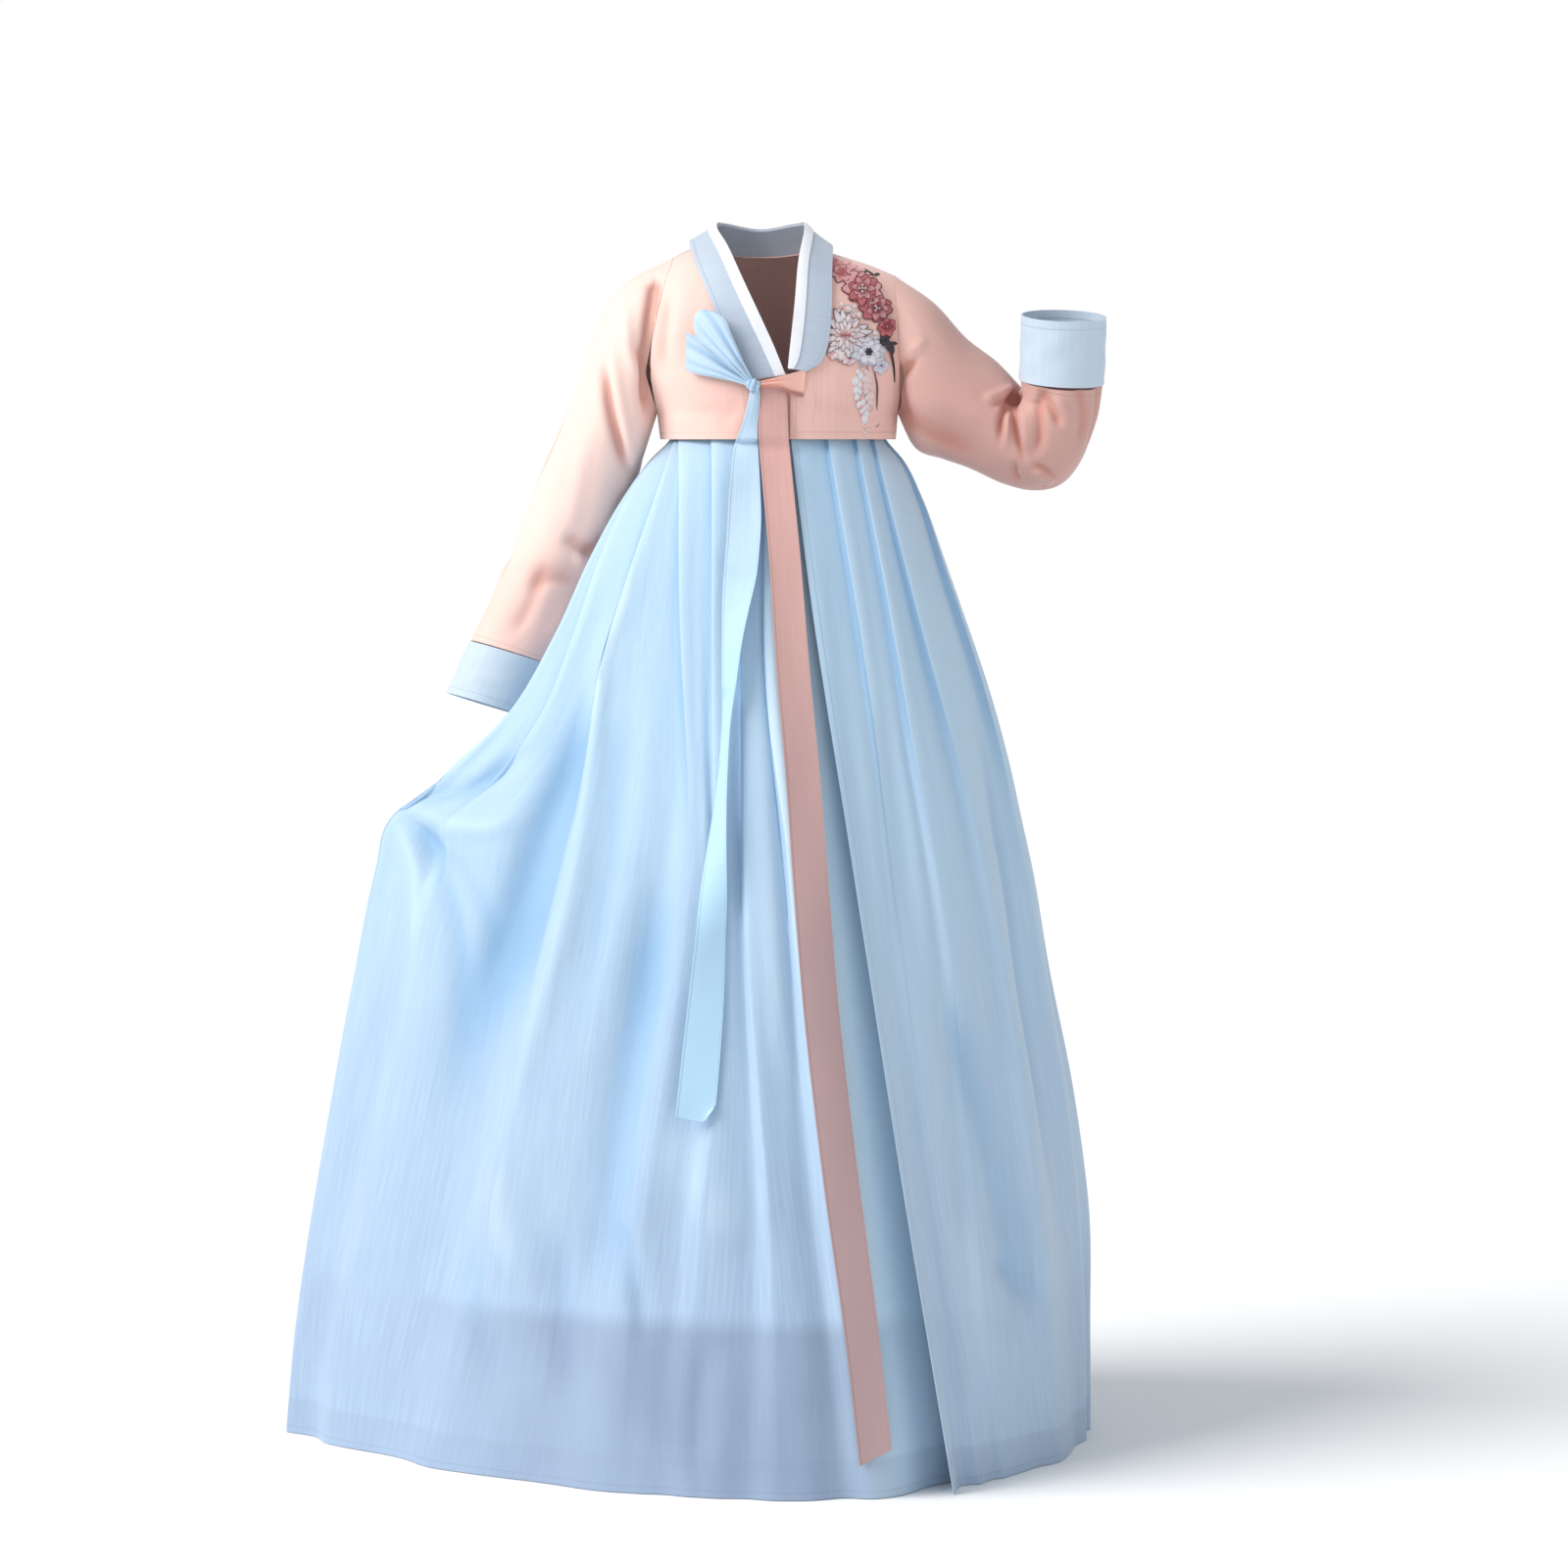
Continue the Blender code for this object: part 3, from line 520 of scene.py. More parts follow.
@dataclass
class Cloth:
    """A cloth piece as it hangs: rows of points, round or in front of something inside it."""

    points: np.ndarray
    inside: np.ndarray  # a point inside for each of them, or one that serves a row
    closed: bool = False  # a tube, whose last column is its first again
    most_share: float = 0.99  # the most of its rectangle that a cut fills
    marks: dict[str, np.ndarray] = field(default_factory=dict)

    def normals(self) -> np.ndarray:
        """Work out the outward direction at each point."""
        down = np.gradient(self.points, axis=0)
        if self.closed:
            ring = self.points[:, :-1]
            side = np.roll(ring, -1, axis=1) - np.roll(ring, 1, axis=1)
            side = np.concatenate([side, side[:, :1]], axis=1)
        else:
            side = np.gradient(self.points, axis=1)
        out = np.cross(side, down)
        out /= np.maximum(np.linalg.norm(out, axis=-1, keepdims=True), 1e-12)
        return out if (out * (self.points - self.inside)).sum() >= 0 else -out

    def press(self, creases: tuple[Crease, ...]) -> np.ndarray:
        """Press creases into the cloth, and say how far each point moved out."""
        normals = self.normals()
        pushes = sum(crease.push(self.points, normals) for crease in creases)
        self.points = self.points + normals * pushes[..., None]
        return pushes

    def lift(self, heights: np.ndarray) -> None:
        """Move the points out along their normals."""
        self.points = self.points + self.normals() * heights[..., None]

    def measures(self) -> tuple[np.ndarray, np.ndarray]:
        """Measure the cloth: metres across for each column and down for each row, on average."""
        across = np.linalg.norm(np.diff(self.points, axis=1), axis=-1).mean(axis=0)
        down = np.linalg.norm(np.diff(self.points, axis=0), axis=-1).mean(axis=1)
        return np.concatenate([[0], np.cumsum(across)]), np.concatenate([[0], np.cumsum(down)])

    def cut(self) -> tuple[tuple[float, float], float]:
        """Measure the piece's cut: its greatest width and length, and its area, to the millimetre."""
        sides = np.linalg.norm(np.diff(self.points, axis=1), axis=-1)
        downs = np.linalg.norm(np.diff(self.points, axis=0), axis=-1)
        width, length = float(sides.sum(axis=1).max()), float(downs.sum(axis=0).max())
        a = self.points[:-1, :-1] - self.points[1:, 1:]
        b = self.points[:-1, 1:] - self.points[1:, :-1]
        area = float(np.linalg.norm(np.cross(a, b), axis=-1).sum() / 2)
        area = min(area, self.most_share * width * length)
        return (round(width, 3), round(length, 3)), math.floor(area * 1e5) / 1e5

    def sew(self, name: str, wall: float, finish: Material, held: str, rests_on: tuple[str, ...]) -> None:
        """Make the mesh, which stands for the solid of the same name.

        Args:
            name: The piece's name and its solid's.
            wall: The cloth's thickness.
            finish: Its material.
            rests_on: What it hangs from or lies on; not used.
        """
        rows, columns = self.points.shape[:2]
        piece = new_grid(f"{name}_cloth", columns, rows)
        mesh = piece.data
        co = np.zeros(len(mesh.vertices) * 3)
        mesh.vertices.foreach_get("co", co)
        co = co.reshape(-1, 3)
        column = np.rint((co[:, 0] + 1) / 2 * (columns - 1)).astype(int)
        row = np.rint((co[:, 1] + 1) / 2 * (rows - 1)).astype(int)
        placed = self.points[row, column] - (0, 0, SHOULDER_HEIGHT)
        mesh.vertices.foreach_set("co", placed.ravel())
        across, down = self.measures()
        corners = np.zeros(len(mesh.loops), np.int32)
        mesh.loops.foreach_get("vertex_index", corners)
        flat = np.column_stack([across[column[corners]], down[row[corners]]])
        mesh.uv_layers[0].data.foreach_set("uv", flat.ravel())
        for mark, values in ({"edge": np.ones((rows, columns))} | self.marks).items():
            marked = mesh.attributes.new(mark, "FLOAT", "POINT")
            marked.data.foreach_set("value", values[row, column].astype(np.float32))
        mesh.update()
        if self.closed:
            edit(piece, lambda: bpy.ops.mesh.remove_doubles(threshold=1e-6))
        solid = piece.modifiers.new("wall", "SOLIDIFY")
        solid.thickness, solid.offset, solid.use_rim = wall, 0.0, True
        finished(piece, finish, CLOTH_EDGE)
        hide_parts(name)
        flat_size, area = self.cut()


def new_grid(name: str, columns: int, rows: int) -> Piece:
    """Add a flat grid, 2 m square round the origin, with a point for each column and row."""
    bpy.ops.object.select_all(action="DESELECT")
    bpy.ops.mesh.primitive_grid_add(x_subdivisions=columns - 1, y_subdivisions=rows - 1, size=2.0)
    grid = bpy.context.object
    grid.name = grid.data.name = name
    return grid


def pick(pieces: list[Piece]) -> None:
    """Select some pieces and nothing else."""
    bpy.ops.object.select_all(action="DESELECT")
    for piece in pieces:
        piece.select_set(True)
    bpy.context.view_layer.objects.active = pieces[0]


def joined(pieces: list[Piece], name: str) -> Piece:
    """Join some pieces into one."""
    pick(pieces)
    bpy.ops.object.join()
    whole = bpy.context.object
    whole.name = whole.data.name = name
    return whole


def coordinates(piece: Piece) -> np.ndarray:
    """Read where a piece's points are."""
    return np.array([v.co for v in piece.data.vertices])


def core(points: np.ndarray, x: float = 0.0, y: float = 0.0) -> np.ndarray:
    """Find the points level with the given ones on an upright line inside them."""
    inside = np.zeros_like(points)
    inside[..., 0], inside[..., 1], inside[..., 2] = x, y, points[..., 2]
    return inside


def edit(piece: Piece, work: Callable[[], object]) -> None:
    """Do some work on all of a piece in edit mode."""
    pick([piece])
    bpy.ops.object.mode_set(mode="EDIT")
    bpy.ops.mesh.select_all(action="SELECT")
    work()
    bpy.ops.object.mode_set(mode="OBJECT")


def finished(piece: Piece, finish: Material, sharp: float) -> None:
    """Apply a piece's modifiers, dress it and let it ride on the garment.

    Args:
        piece: The piece.
        finish: Its material.
        sharp: The angle in degrees past which an edge shows as one.
    """
    pick([piece])
    for modifier in [m.name for m in piece.modifiers]:
        bpy.ops.object.modifier_apply(modifier=modifier)
    bpy.ops.object.shade_smooth_by_angle(angle=math.radians(sharp))
    piece.data.materials.clear()
    piece.data.materials.append(finish)
    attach(piece, BODY)
    log.info("%s: %d faces", piece.name, len(piece.data.polygons))


# --- the jacket -------------------------------------------------------------------------------------


@dataclass
class BodyForm:
    """The form that the jacket lies on."""

    hem: float = 1.125
    underarm: float = 1.155
    chest: float = 1.235
    middle_y: float = 0.010
    armhole_depth: float = 0.058
    body_rows: Rows = ((1.125, 0.116, 0.086), (1.155, 0.114, 0.086), (1.235, 0.104, 0.080))
    shoulder_rows: Rows = (
        (-0.160, 1.303), (-0.135, 1.317), (-0.096, 1.337), (-0.060, 1.350),
        (0.020, 1.350), (0.053, 1.334), (0.098, 1.319), (0.150, 1.298),
    )
    seam_rows: Rows = (
        (1.125, -0.132, 0.130), (1.155, -0.136, 0.132), (1.200, -0.142, 0.133),
        (1.260, -0.136, 0.131), (1.330, -0.116, 0.126),
    )

    def seam_x(self, side: int, height: Numbers) -> np.ndarray:
        """Find the armhole seam's x at a height."""
        return along(self.seam_rows, height, 1 if side < 0 else 2)

    def y(self, x: Numbers, height: Numbers, facing: int = FRONT) -> np.ndarray:
        """Find the body's y.

        Args:
            x: How far across.
            height: The height.
            facing: FRONT or BACK.

        Returns:
            The y there.
        """
        x, height = np.asarray(x, float), np.asarray(height, float)
        depth = along(self.body_rows, height, 1 if facing < 0 else 2)
        across = np.abs(x / np.where(x < 0, self.seam_x(RIGHT, height), self.seam_x(LEFT, height)))
        drop = np.clip((self.chest - height) / (self.chest - self.underarm), 0, 1)
        open_share = self.armhole_depth * np.sqrt(np.clip(1 - drop**2, 0, 1)) / depth
        bulge = np.sqrt(np.clip(1 - (1 - open_share**2) * np.minimum(across, 1) ** 2, 0, 1))
        top = along(self.shoulder_rows, x, 1)
        rise = np.maximum(height - self.chest, 0) / (top - self.chest)
        return self.middle_y + facing * depth * bulge * np.sqrt(np.clip(1 - rise**2, 0, 1))

    def shoulder_top(self, side: int) -> float:
        """Find the height where the armhole seam meets the shoulder line."""
        top = SHOULDER_HEIGHT
        for _ in range(8):
            top = float(along(self.shoulder_rows, self.seam_x(side, top), 1)) - 1e-5
        return top


@dataclass
class JacketBody:
    """The jacket's two fronts and two backs."""

    form: BodyForm
    wall: float = 0.0011
    gap: float = 0.0001
    over_edge_x: float = 0.012
    under_edge_x: float = 0.046
    underlap_drop: float = 0.003
    # the crease depth that gives the full painted shade
    full_shade_depth: float = 0.0055  # how far in a crease goes at its deepest colour
    columns: int = 84
    rows: int = 90
    right_neckline: Rows = (
        (-0.086, 1.340), (-0.070, 1.302), (-0.045, 1.246), (-0.012, 1.199), (0.006, 1.198), (0.020, 1.192),
        (0.060, 1.180),
    )
    left_neckline: Rows = (
        (0.012, 1.192), (0.024, 1.202), (0.034, 1.214), (0.041, 1.250), (0.044, 1.300), (0.046, 1.338),
    )
    back_neckline: Rows = (
        (-0.086, 1.340), (-0.060, 1.332), (-0.020, 1.329), (0.020, 1.332), (0.046, 1.338),
    )
    slack: float = 0.0004  # how far the cloth lies in and out between its creases
    front_creases: tuple[Crease, ...] = (
        Crease(((-0.122, 1.300), (-0.128, 1.245), (-0.133, 1.185)), 0.010, -0.0030),
        Crease(((-0.104, 1.316), (-0.110, 1.262), (-0.116, 1.205)), 0.011, 0.0022),
        Crease(((-0.034, 1.176), (-0.066, 1.160), (-0.104, 1.156)), 0.008, -0.0014, lean=1.8),
        Crease(((-0.038, 1.190), (-0.075, 1.186), (-0.112, 1.196)), 0.009, 0.0012),
        Crease(((-0.040, 1.170), (-0.060, 1.145), (-0.070, 1.127)), 0.007, -0.0010),
        Crease(((0.022, 1.172), (0.060, 1.158), (0.104, 1.152)), 0.009, -0.0012, lean=1.6),
        Crease(((0.030, 1.186), (0.070, 1.184), (0.118, 1.200)), 0.010, 0.0010),
        Crease(((0.117, 1.306), (0.123, 1.250), (0.126, 1.190)), 0.008, -0.0024),
        Crease(((0.128, 1.168), (0.100, 1.146), (0.070, 1.138)), 0.009, 0.0012),
        Crease(((-0.130, 1.166), (-0.112, 1.146), (-0.088, 1.134)), 0.009, 0.0014),
    )
    back_creases: tuple[Crease, ...] = (
        Crease(((-0.118, 1.300), (-0.118, 1.250), (-0.126, 1.190)), 0.010, -0.0028, View.BACK),
        Crease(((0.116, 1.296), (0.114, 1.250), (0.122, 1.190)), 0.010, -0.0026, View.BACK),
        Crease(((-0.120, 1.180), (-0.070, 1.158), (-0.018, 1.160)), 0.010, -0.0018, View.BACK),
        Crease(((0.118, 1.176), (0.066, 1.152), (0.016, 1.150)), 0.010, -0.0018, View.BACK, 1.5),
        Crease(((-0.100, 1.250), (-0.050, 1.226), (-0.012, 1.226)), 0.013, -0.0016, View.BACK),
        Crease(((0.096, 1.256), (0.052, 1.236), (0.014, 1.240)), 0.012, 0.0016, View.BACK),
    )

    def panel(self, inner_x: float, side: int, facing: int, neckline: Rows) -> np.ndarray:
        """Lay a panel's points, from its inner edge or centre seam to the armhole seam.

        Args:
            inner_x: The inner edge's x at the hem.
            side: RIGHT or LEFT.
            facing: FRONT or BACK.
            neckline: The neckline that cuts its top.

        Returns:
            Rows of points from the hem up.
        """
        form = self.form
        neck_end = max(abs(neckline[0][0]), abs(neckline[-1][0]))
        start = math.asin(abs(inner_x) / abs(float(form.seam_x(side, form.hem))))
        angles = np.linspace(start if inner_x * side >= 0 else -start, math.pi / 2, self.columns)
        steps = np.linspace(0, 1, self.rows)
        grid = np.zeros((self.rows, self.columns, 3))
        for j, angle in enumerate(angles):
            top = SHOULDER_HEIGHT
            for _ in range(8):
                x_top = float(form.seam_x(side, top)) * math.sin(angle)
                on_neck = x_top * side < (neck_end if side < 0 else neckline[-1][0])
                if facing > 0:
                    on_neck = neckline[0][0] < x_top < neckline[-1][0]
                top = along(neckline if on_neck else form.shoulder_rows, x_top, 1)
                top = float(min(top, along(form.shoulder_rows, x_top, 1) - 1e-5))
            share = np.sin(steps * math.pi / 2) ** 0.9 if top > form.chest else steps
            heights = form.hem + (top - form.hem) * share
            xs = form.seam_x(side, heights) * math.sin(angle)
            grid[:, j] = np.column_stack([xs, form.y(xs, heights, facing), heights])
        grid[:, -1, 0] -= side * self.gap
        below = grid[:, -1, 2] < form.underarm
        grid[below, -1, 1] += facing * self.gap
        return grid

    def build(self, finish: Material) -> None:
        """Make the four panels."""
        panels = (
            ("jacket_front_right", self.under_edge_x, RIGHT, FRONT, self.right_neckline),
            ("jacket_front_left", self.over_edge_x, LEFT, FRONT, self.left_neckline),
            ("jacket_back_right", 0.0, RIGHT, BACK, self.back_neckline),
            ("jacket_back_left", 0.0, LEFT, BACK, self.back_neckline),
        )
        for name, inner_x, side, facing, neckline in panels:
            points = self.panel(inner_x, side, facing, neckline)
            if name == "jacket_front_right":
                points[..., 1] += self.underlap_drop * smooth((points[..., 0] + 0.025) / 0.030)
            cloth = Cloth(points, core(points, y=self.form.middle_y))
            wave = np.sin(points[..., 0] * 95 + side) * np.sin(points[..., 2] * 61 + facing)
            cloth.lift(wave * self.slack)
            pushes = cloth.press(self.front_creases if facing < 0 else self.back_creases)
            # painted shade in the creases
            cloth.marks["fold_shading"] = pushes / self.full_shade_depth
            edge = points[..., 2] - self.form.hem
            if name == "jacket_front_left":
                edge = np.minimum(edge, np.abs(points[..., 0] - self.over_edge_x) + 0.001)
            cloth.marks["edge"] = edge
            cloth.sew(name, self.wall, finish, "draped", ("collar",))


@dataclass
class Sleeves:
    """The two sleeves with their cuffs."""

    form: BodyForm
    wall: float = 0.0011
    cuff_wall: float = 0.0015
    gap: float = 0.0005
    # the crease depth that gives the full painted shade
    full_shade_depth: float = 0.0052
    sleeve_slack: float = 0.0012
    cuff_slack: float = 0.0005
    sleeve_reach: float = 0.36
    cuff_reach: float = 0.062
    around: int = 150
    rows: int = 180
    cuff_rows: int = 30
    # x, y, height of the middle, then the way up the section, and its radii up and across
    right: Rows = (
        (-0.161, 0.008, 1.202, -0.10, 0.0, 1.00, 0.096, 0.060),
        (-0.179, 0.012, 1.172, -0.22, 0.0, 0.97, 0.089, 0.057),
        (-0.191, 0.018, 1.139, -0.35, 0.0, 0.94, 0.0745, 0.053),
        (-0.208, 0.026, 1.098, -0.56, 0.0, 0.83, 0.060, 0.050),
        (-0.227, 0.032, 1.048, -0.72, 0.0, 0.69, 0.056, 0.048),
        (-0.245, 0.036, 0.999, -0.79, 0.0, 0.62, 0.053, 0.047),
        (-0.265, 0.036, 0.953, -0.84, 0.0, 0.54, 0.052, 0.045),
        (-0.283, 0.033, 0.914, -0.89, 0.0, 0.45, 0.051, 0.043),
        (-0.300, 0.029, 0.884, -0.95, 0.0, 0.30, 0.049, 0.042),
    )
    right_cuff: Rows = (
        (-0.3003, 0.029, 0.8833, -0.95, 0.0, 0.29, 0.050, 0.043),
        (-0.314, 0.026, 0.855, -0.95, 0.0, 0.29, 0.049, 0.042),
        (-0.327, 0.023, 0.826, -0.95, 0.0, 0.29, 0.049, 0.042),
    )
    left: Rows = (
        (0.163, 0.002, 1.196, 0.12, 0.0, 1.00, 0.081, 0.060),
        (0.196, 0.000, 1.170, 0.18, 0.0, 0.98, 0.068, 0.057),
        (0.228, -0.003, 1.152, 0.22, 0.0, 0.97, 0.061, 0.054),
        (0.256, -0.008, 1.135, 0.08, 0.0, 1.00, 0.058, 0.053),
        (0.276, -0.014, 1.126, -0.20, 0.0, 0.98, 0.057, 0.052),
        (0.292, -0.020, 1.128, -0.45, 0.0, 0.89, 0.056, 0.051),
        (0.304, -0.026, 1.143, -0.73, 0.0, 0.69, 0.050, 0.050),
        (0.311, -0.033, 1.164, -0.93, 0.0, 0.38, 0.045, 0.048),
        (0.313, -0.040, 1.188, -1.00, 0.0, 0.07, 0.045, 0.046),
    )
    left_cuff: Rows = (
        (0.3130, -0.0402, 1.1888, -1.00, 0.0, 0.05, 0.0465, 0.0465),
        (0.3138, -0.0460, 1.2250, -1.00, 0.0, 0.03, 0.0465, 0.0465),
        (0.3145, -0.0520, 1.2610, -1.00, 0.0, 0.03, 0.0465, 0.0465),
    )
    right_creases: tuple[Crease, ...] = (
        Crease(((-0.141, 1.292), (-0.147, 1.240), (-0.149, 1.185), (-0.145, 1.140)), 0.006, -0.0072, lean=1.6,
               from_edge=True),
        Crease(((-0.170, 1.282), (-0.167, 1.238), (-0.155, 1.204), (-0.140, 1.176)), 0.007, 0.0050),
        Crease(((-0.166, 1.240), (-0.154, 1.208), (-0.142, 1.178)), 0.006, -0.0066, lean=1.5),
        Crease(((-0.187, 1.250), (-0.180, 1.194), (-0.169, 1.136), (-0.161, 1.084)), 0.006, 0.0036),
        Crease(((-0.196, 1.226), (-0.190, 1.170), (-0.178, 1.120), (-0.166, 1.076)), 0.007, -0.0062),
        Crease(((-0.206, 1.160), (-0.223, 1.080), (-0.240, 1.008)), 0.012, 0.0034),
        Crease(((-0.246, 1.018), (-0.226, 1.006), (-0.202, 0.986)), 0.008, -0.0034, lean=1.7),
        Crease(((-0.190, 1.030), (-0.204, 1.006), (-0.222, 0.990)), 0.008, -0.0032),
        Crease(((-0.232, 0.998), (-0.216, 0.984), (-0.204, 0.972)), 0.006, 0.0032),
        Crease(((-0.292, 0.955), (-0.254, 0.970), (-0.216, 0.964)), 0.009, -0.0032, lean=1.9),
        Crease(((-0.256, 1.006), (-0.279, 0.942), (-0.304, 0.898)), 0.009, -0.0026),
        Crease(((-0.228, 0.960), (-0.243, 0.926), (-0.260, 0.888)), 0.009, 0.0026),
        Crease(((0.060, 1.235), (0.050, 1.150), (0.062, 1.070)), 0.010, -0.0034, View.RIGHT),
        Crease(((0.010, 1.215), (0.018, 1.130), (0.036, 1.050)), 0.010, -0.0030, View.RIGHT),
        Crease(((0.070, 1.060), (0.040, 1.010), (0.020, 0.960)), 0.009, -0.0036, View.RIGHT),
        Crease(((0.076, 1.010), (0.050, 0.980), (0.022, 0.975)), 0.008, 0.0030, View.RIGHT),
        Crease(((-0.156, 1.285), (-0.166, 1.215), (-0.166, 1.145)), 0.008, -0.0050, View.BACK, 1.6, True),
        Crease(((-0.190, 1.230), (-0.204, 1.150), (-0.222, 1.080)), 0.010, 0.0032, View.BACK),
        Crease(((-0.180, 1.090), (-0.212, 1.056), (-0.252, 1.050)), 0.008, -0.0048, View.BACK, 1.5),
        Crease(((-0.204, 1.030), (-0.238, 1.006), (-0.278, 1.002)), 0.008, -0.0044, View.BACK),
        Crease(((-0.228, 0.972), (-0.262, 0.952), (-0.298, 0.940)), 0.008, -0.0030, View.BACK),
    )
    left_creases: tuple[Crease, ...] = (
        Crease(((0.128, 1.186), (0.138, 1.200), (0.158, 1.221)), 0.0055, -0.0065, lean=1.7, from_edge=True),
        Crease(((0.136, 1.206), (0.150, 1.224), (0.166, 1.236)), 0.0055, 0.0034),
        Crease(((0.134, 1.184), (0.136, 1.160), (0.138, 1.136)), 0.006, -0.0040, from_edge=True),
        Crease(((0.136, 1.148), (0.172, 1.128), (0.238, 1.102)), 0.009, -0.0042, lean=1.9, from_edge=True),
        Crease(((0.150, 1.176), (0.200, 1.158), (0.244, 1.140)), 0.014, 0.0026),
        Crease(((0.262, 1.182), (0.242, 1.174), (0.220, 1.168)), 0.0050, 0.0036, from_edge=True),
        Crease(((0.262, 1.177), (0.246, 1.168), (0.232, 1.158)), 0.0040, -0.0034, from_edge=True),
        Crease(((0.263, 1.178), (0.252, 1.163), (0.245, 1.142), (0.243, 1.110)), 0.0045, -0.0072,
               from_edge=True),
        Crease(((0.257, 1.160), (0.252, 1.140), (0.252, 1.112)), 0.0040, 0.0036),
        Crease(((0.264, 1.174), (0.259, 1.154), (0.264, 1.126), (0.274, 1.094)), 0.0040, -0.0075,
               from_edge=True),
        Crease(((0.261, 1.104), (0.262, 1.086), (0.272, 1.078)), 0.0040, -0.0044),
        Crease(((0.272, 1.164), (0.272, 1.136), (0.276, 1.106)), 0.0070, 0.0048),
        Crease(((0.284, 1.164), (0.286, 1.136), (0.281, 1.104)), 0.0040, -0.0050, lean=1.8, from_edge=True),
        Crease(((0.276, 1.096), (0.292, 1.092), (0.310, 1.075)), 0.0042, -0.0048),
        Crease(((0.276, 1.088), (0.294, 1.084), (0.306, 1.070)), 0.0040, 0.0032),
        Crease(((0.290, 1.172), (0.302, 1.154), (0.312, 1.134)), 0.0050, -0.0056, lean=1.5, from_edge=True),
        Crease(((0.300, 1.176), (0.314, 1.156), (0.322, 1.130)), 0.0060, 0.0034),
        Crease(((0.330, 1.182), (0.336, 1.150), (0.328, 1.112)), 0.0060, -0.0040, from_edge=True),
        Crease(((0.286, 1.078), (0.300, 1.070), (0.318, 1.082)), 0.0045, -0.0034),
        Crease(((0.160, 1.240), (0.205, 1.215), (0.248, 1.192)), 0.010, -0.0036, View.BACK),
        Crease(((0.150, 1.172), (0.190, 1.150), (0.236, 1.130)), 0.011, -0.0036, View.BACK, 1.6),
        Crease(((0.262, 1.172), (0.246, 1.150), (0.240, 1.116)), 0.0050, -0.0060, View.BACK, 1.5, True),
        Crease(((0.268, 1.168), (0.272, 1.136), (0.262, 1.104)), 0.0050, -0.0056, View.BACK, 1.0, True),
        Crease(((0.280, 1.172), (0.298, 1.142), (0.304, 1.108)), 0.0055, -0.0050, View.BACK, 1.0, True),
        Crease(((0.310, 1.182), (0.330, 1.152), (0.334, 1.122)), 0.0060, -0.0040, View.BACK, 1.0, True),
        Crease(((-0.060, 1.180), (-0.044, 1.140), (-0.026, 1.102)), 0.0070, -0.0036, View.LEFT, 1.0, True),
        Crease(((-0.016, 1.176), (-0.018, 1.140), (-0.012, 1.098)), 0.0070, -0.0034, View.LEFT),
    )

    def armhole(self, side: int) -> np.ndarray:
        """Lay the armhole's points, from the shoulder forward, down and up the back."""
        form = self.form
        top = form.shoulder_top(side)
        middle, half = (top + form.underarm) / 2, (top - form.underarm) / 2
        turns = 2 * math.pi * np.arange(self.around) / self.around
        heights = middle + half * np.cos(turns)
        xs = form.seam_x(side, heights)
        ys = np.where(np.sin(turns) >= 0, form.y(xs, heights, FRONT), form.y(xs, heights, BACK))
        return np.column_stack([xs + side * self.gap, ys, heights])

    def sections(self, rows: Rows, side: int, ends: tuple[np.ndarray, np.ndarray]) -> np.ndarray:
        """Lay an ellipse of points round the arm for each row.

        Args:
            rows: The sections.
            side: RIGHT or LEFT.
            ends: The points before and after, which give the end sections' direction.

        Returns:
            The rings.
        """
        table = np.array(rows, float)
        centres, ups, radii = table[:, :3], table[:, 3:6], table[:, 6:8]
        path = np.vstack([ends[0], centres, ends[1]])
        turns = 2 * math.pi * np.arange(self.around)[:, None] / self.around
        rings = []
        for i, (centre, up, (radius_up, radius_side)) in enumerate(zip(centres, ups, radii)):
            up = up / np.linalg.norm(up)
            across = np.cross(path[i + 2] - path[i], up)
            across = side * across / np.linalg.norm(across)
            rings.append(centre + radius_up * np.cos(turns) * up + radius_side * np.sin(turns) * across)
        return np.array(rings)

    def tube(self, rings: np.ndarray, rows: int) -> Cloth:
        """Make a smooth tube of cloth through some rings."""
        points = through(rings.reshape(len(rings), -1), rows).reshape(rows, self.around, 3)
        points = np.concatenate([points, points[:, :1]], axis=1)
        return Cloth(points, points[:, :-1].mean(axis=1, keepdims=True), closed=True)

    def ease(self, cloth: Cloth, seed: float, depth: float) -> None:
        """Let the cloth lie a little slack, in long uneven waves."""
        rows, columns = cloth.points.shape[:2]
        along_it = np.linspace(0, 1, rows)[:, None]
        turn = np.linspace(0, 2 * math.pi, columns)[None]
        waves = np.sin(3 * turn + 5 * along_it + seed) * np.sin(9 * along_it + 2 * seed)
        waves = waves + 0.6 * np.sin(5 * turn - 11 * along_it + 2.3 * seed)
        cloth.lift(waves * depth * np.sin(math.pi * np.clip(along_it, 0, 1)) ** 0.5)

    def to_end(self, rows: int, reach: float) -> np.ndarray:
        """Measure each point's way to the end of a tube whose length is `reach`."""
        return np.repeat(np.linspace(1, 0, rows)[:, None] * reach, self.around + 1, axis=1)

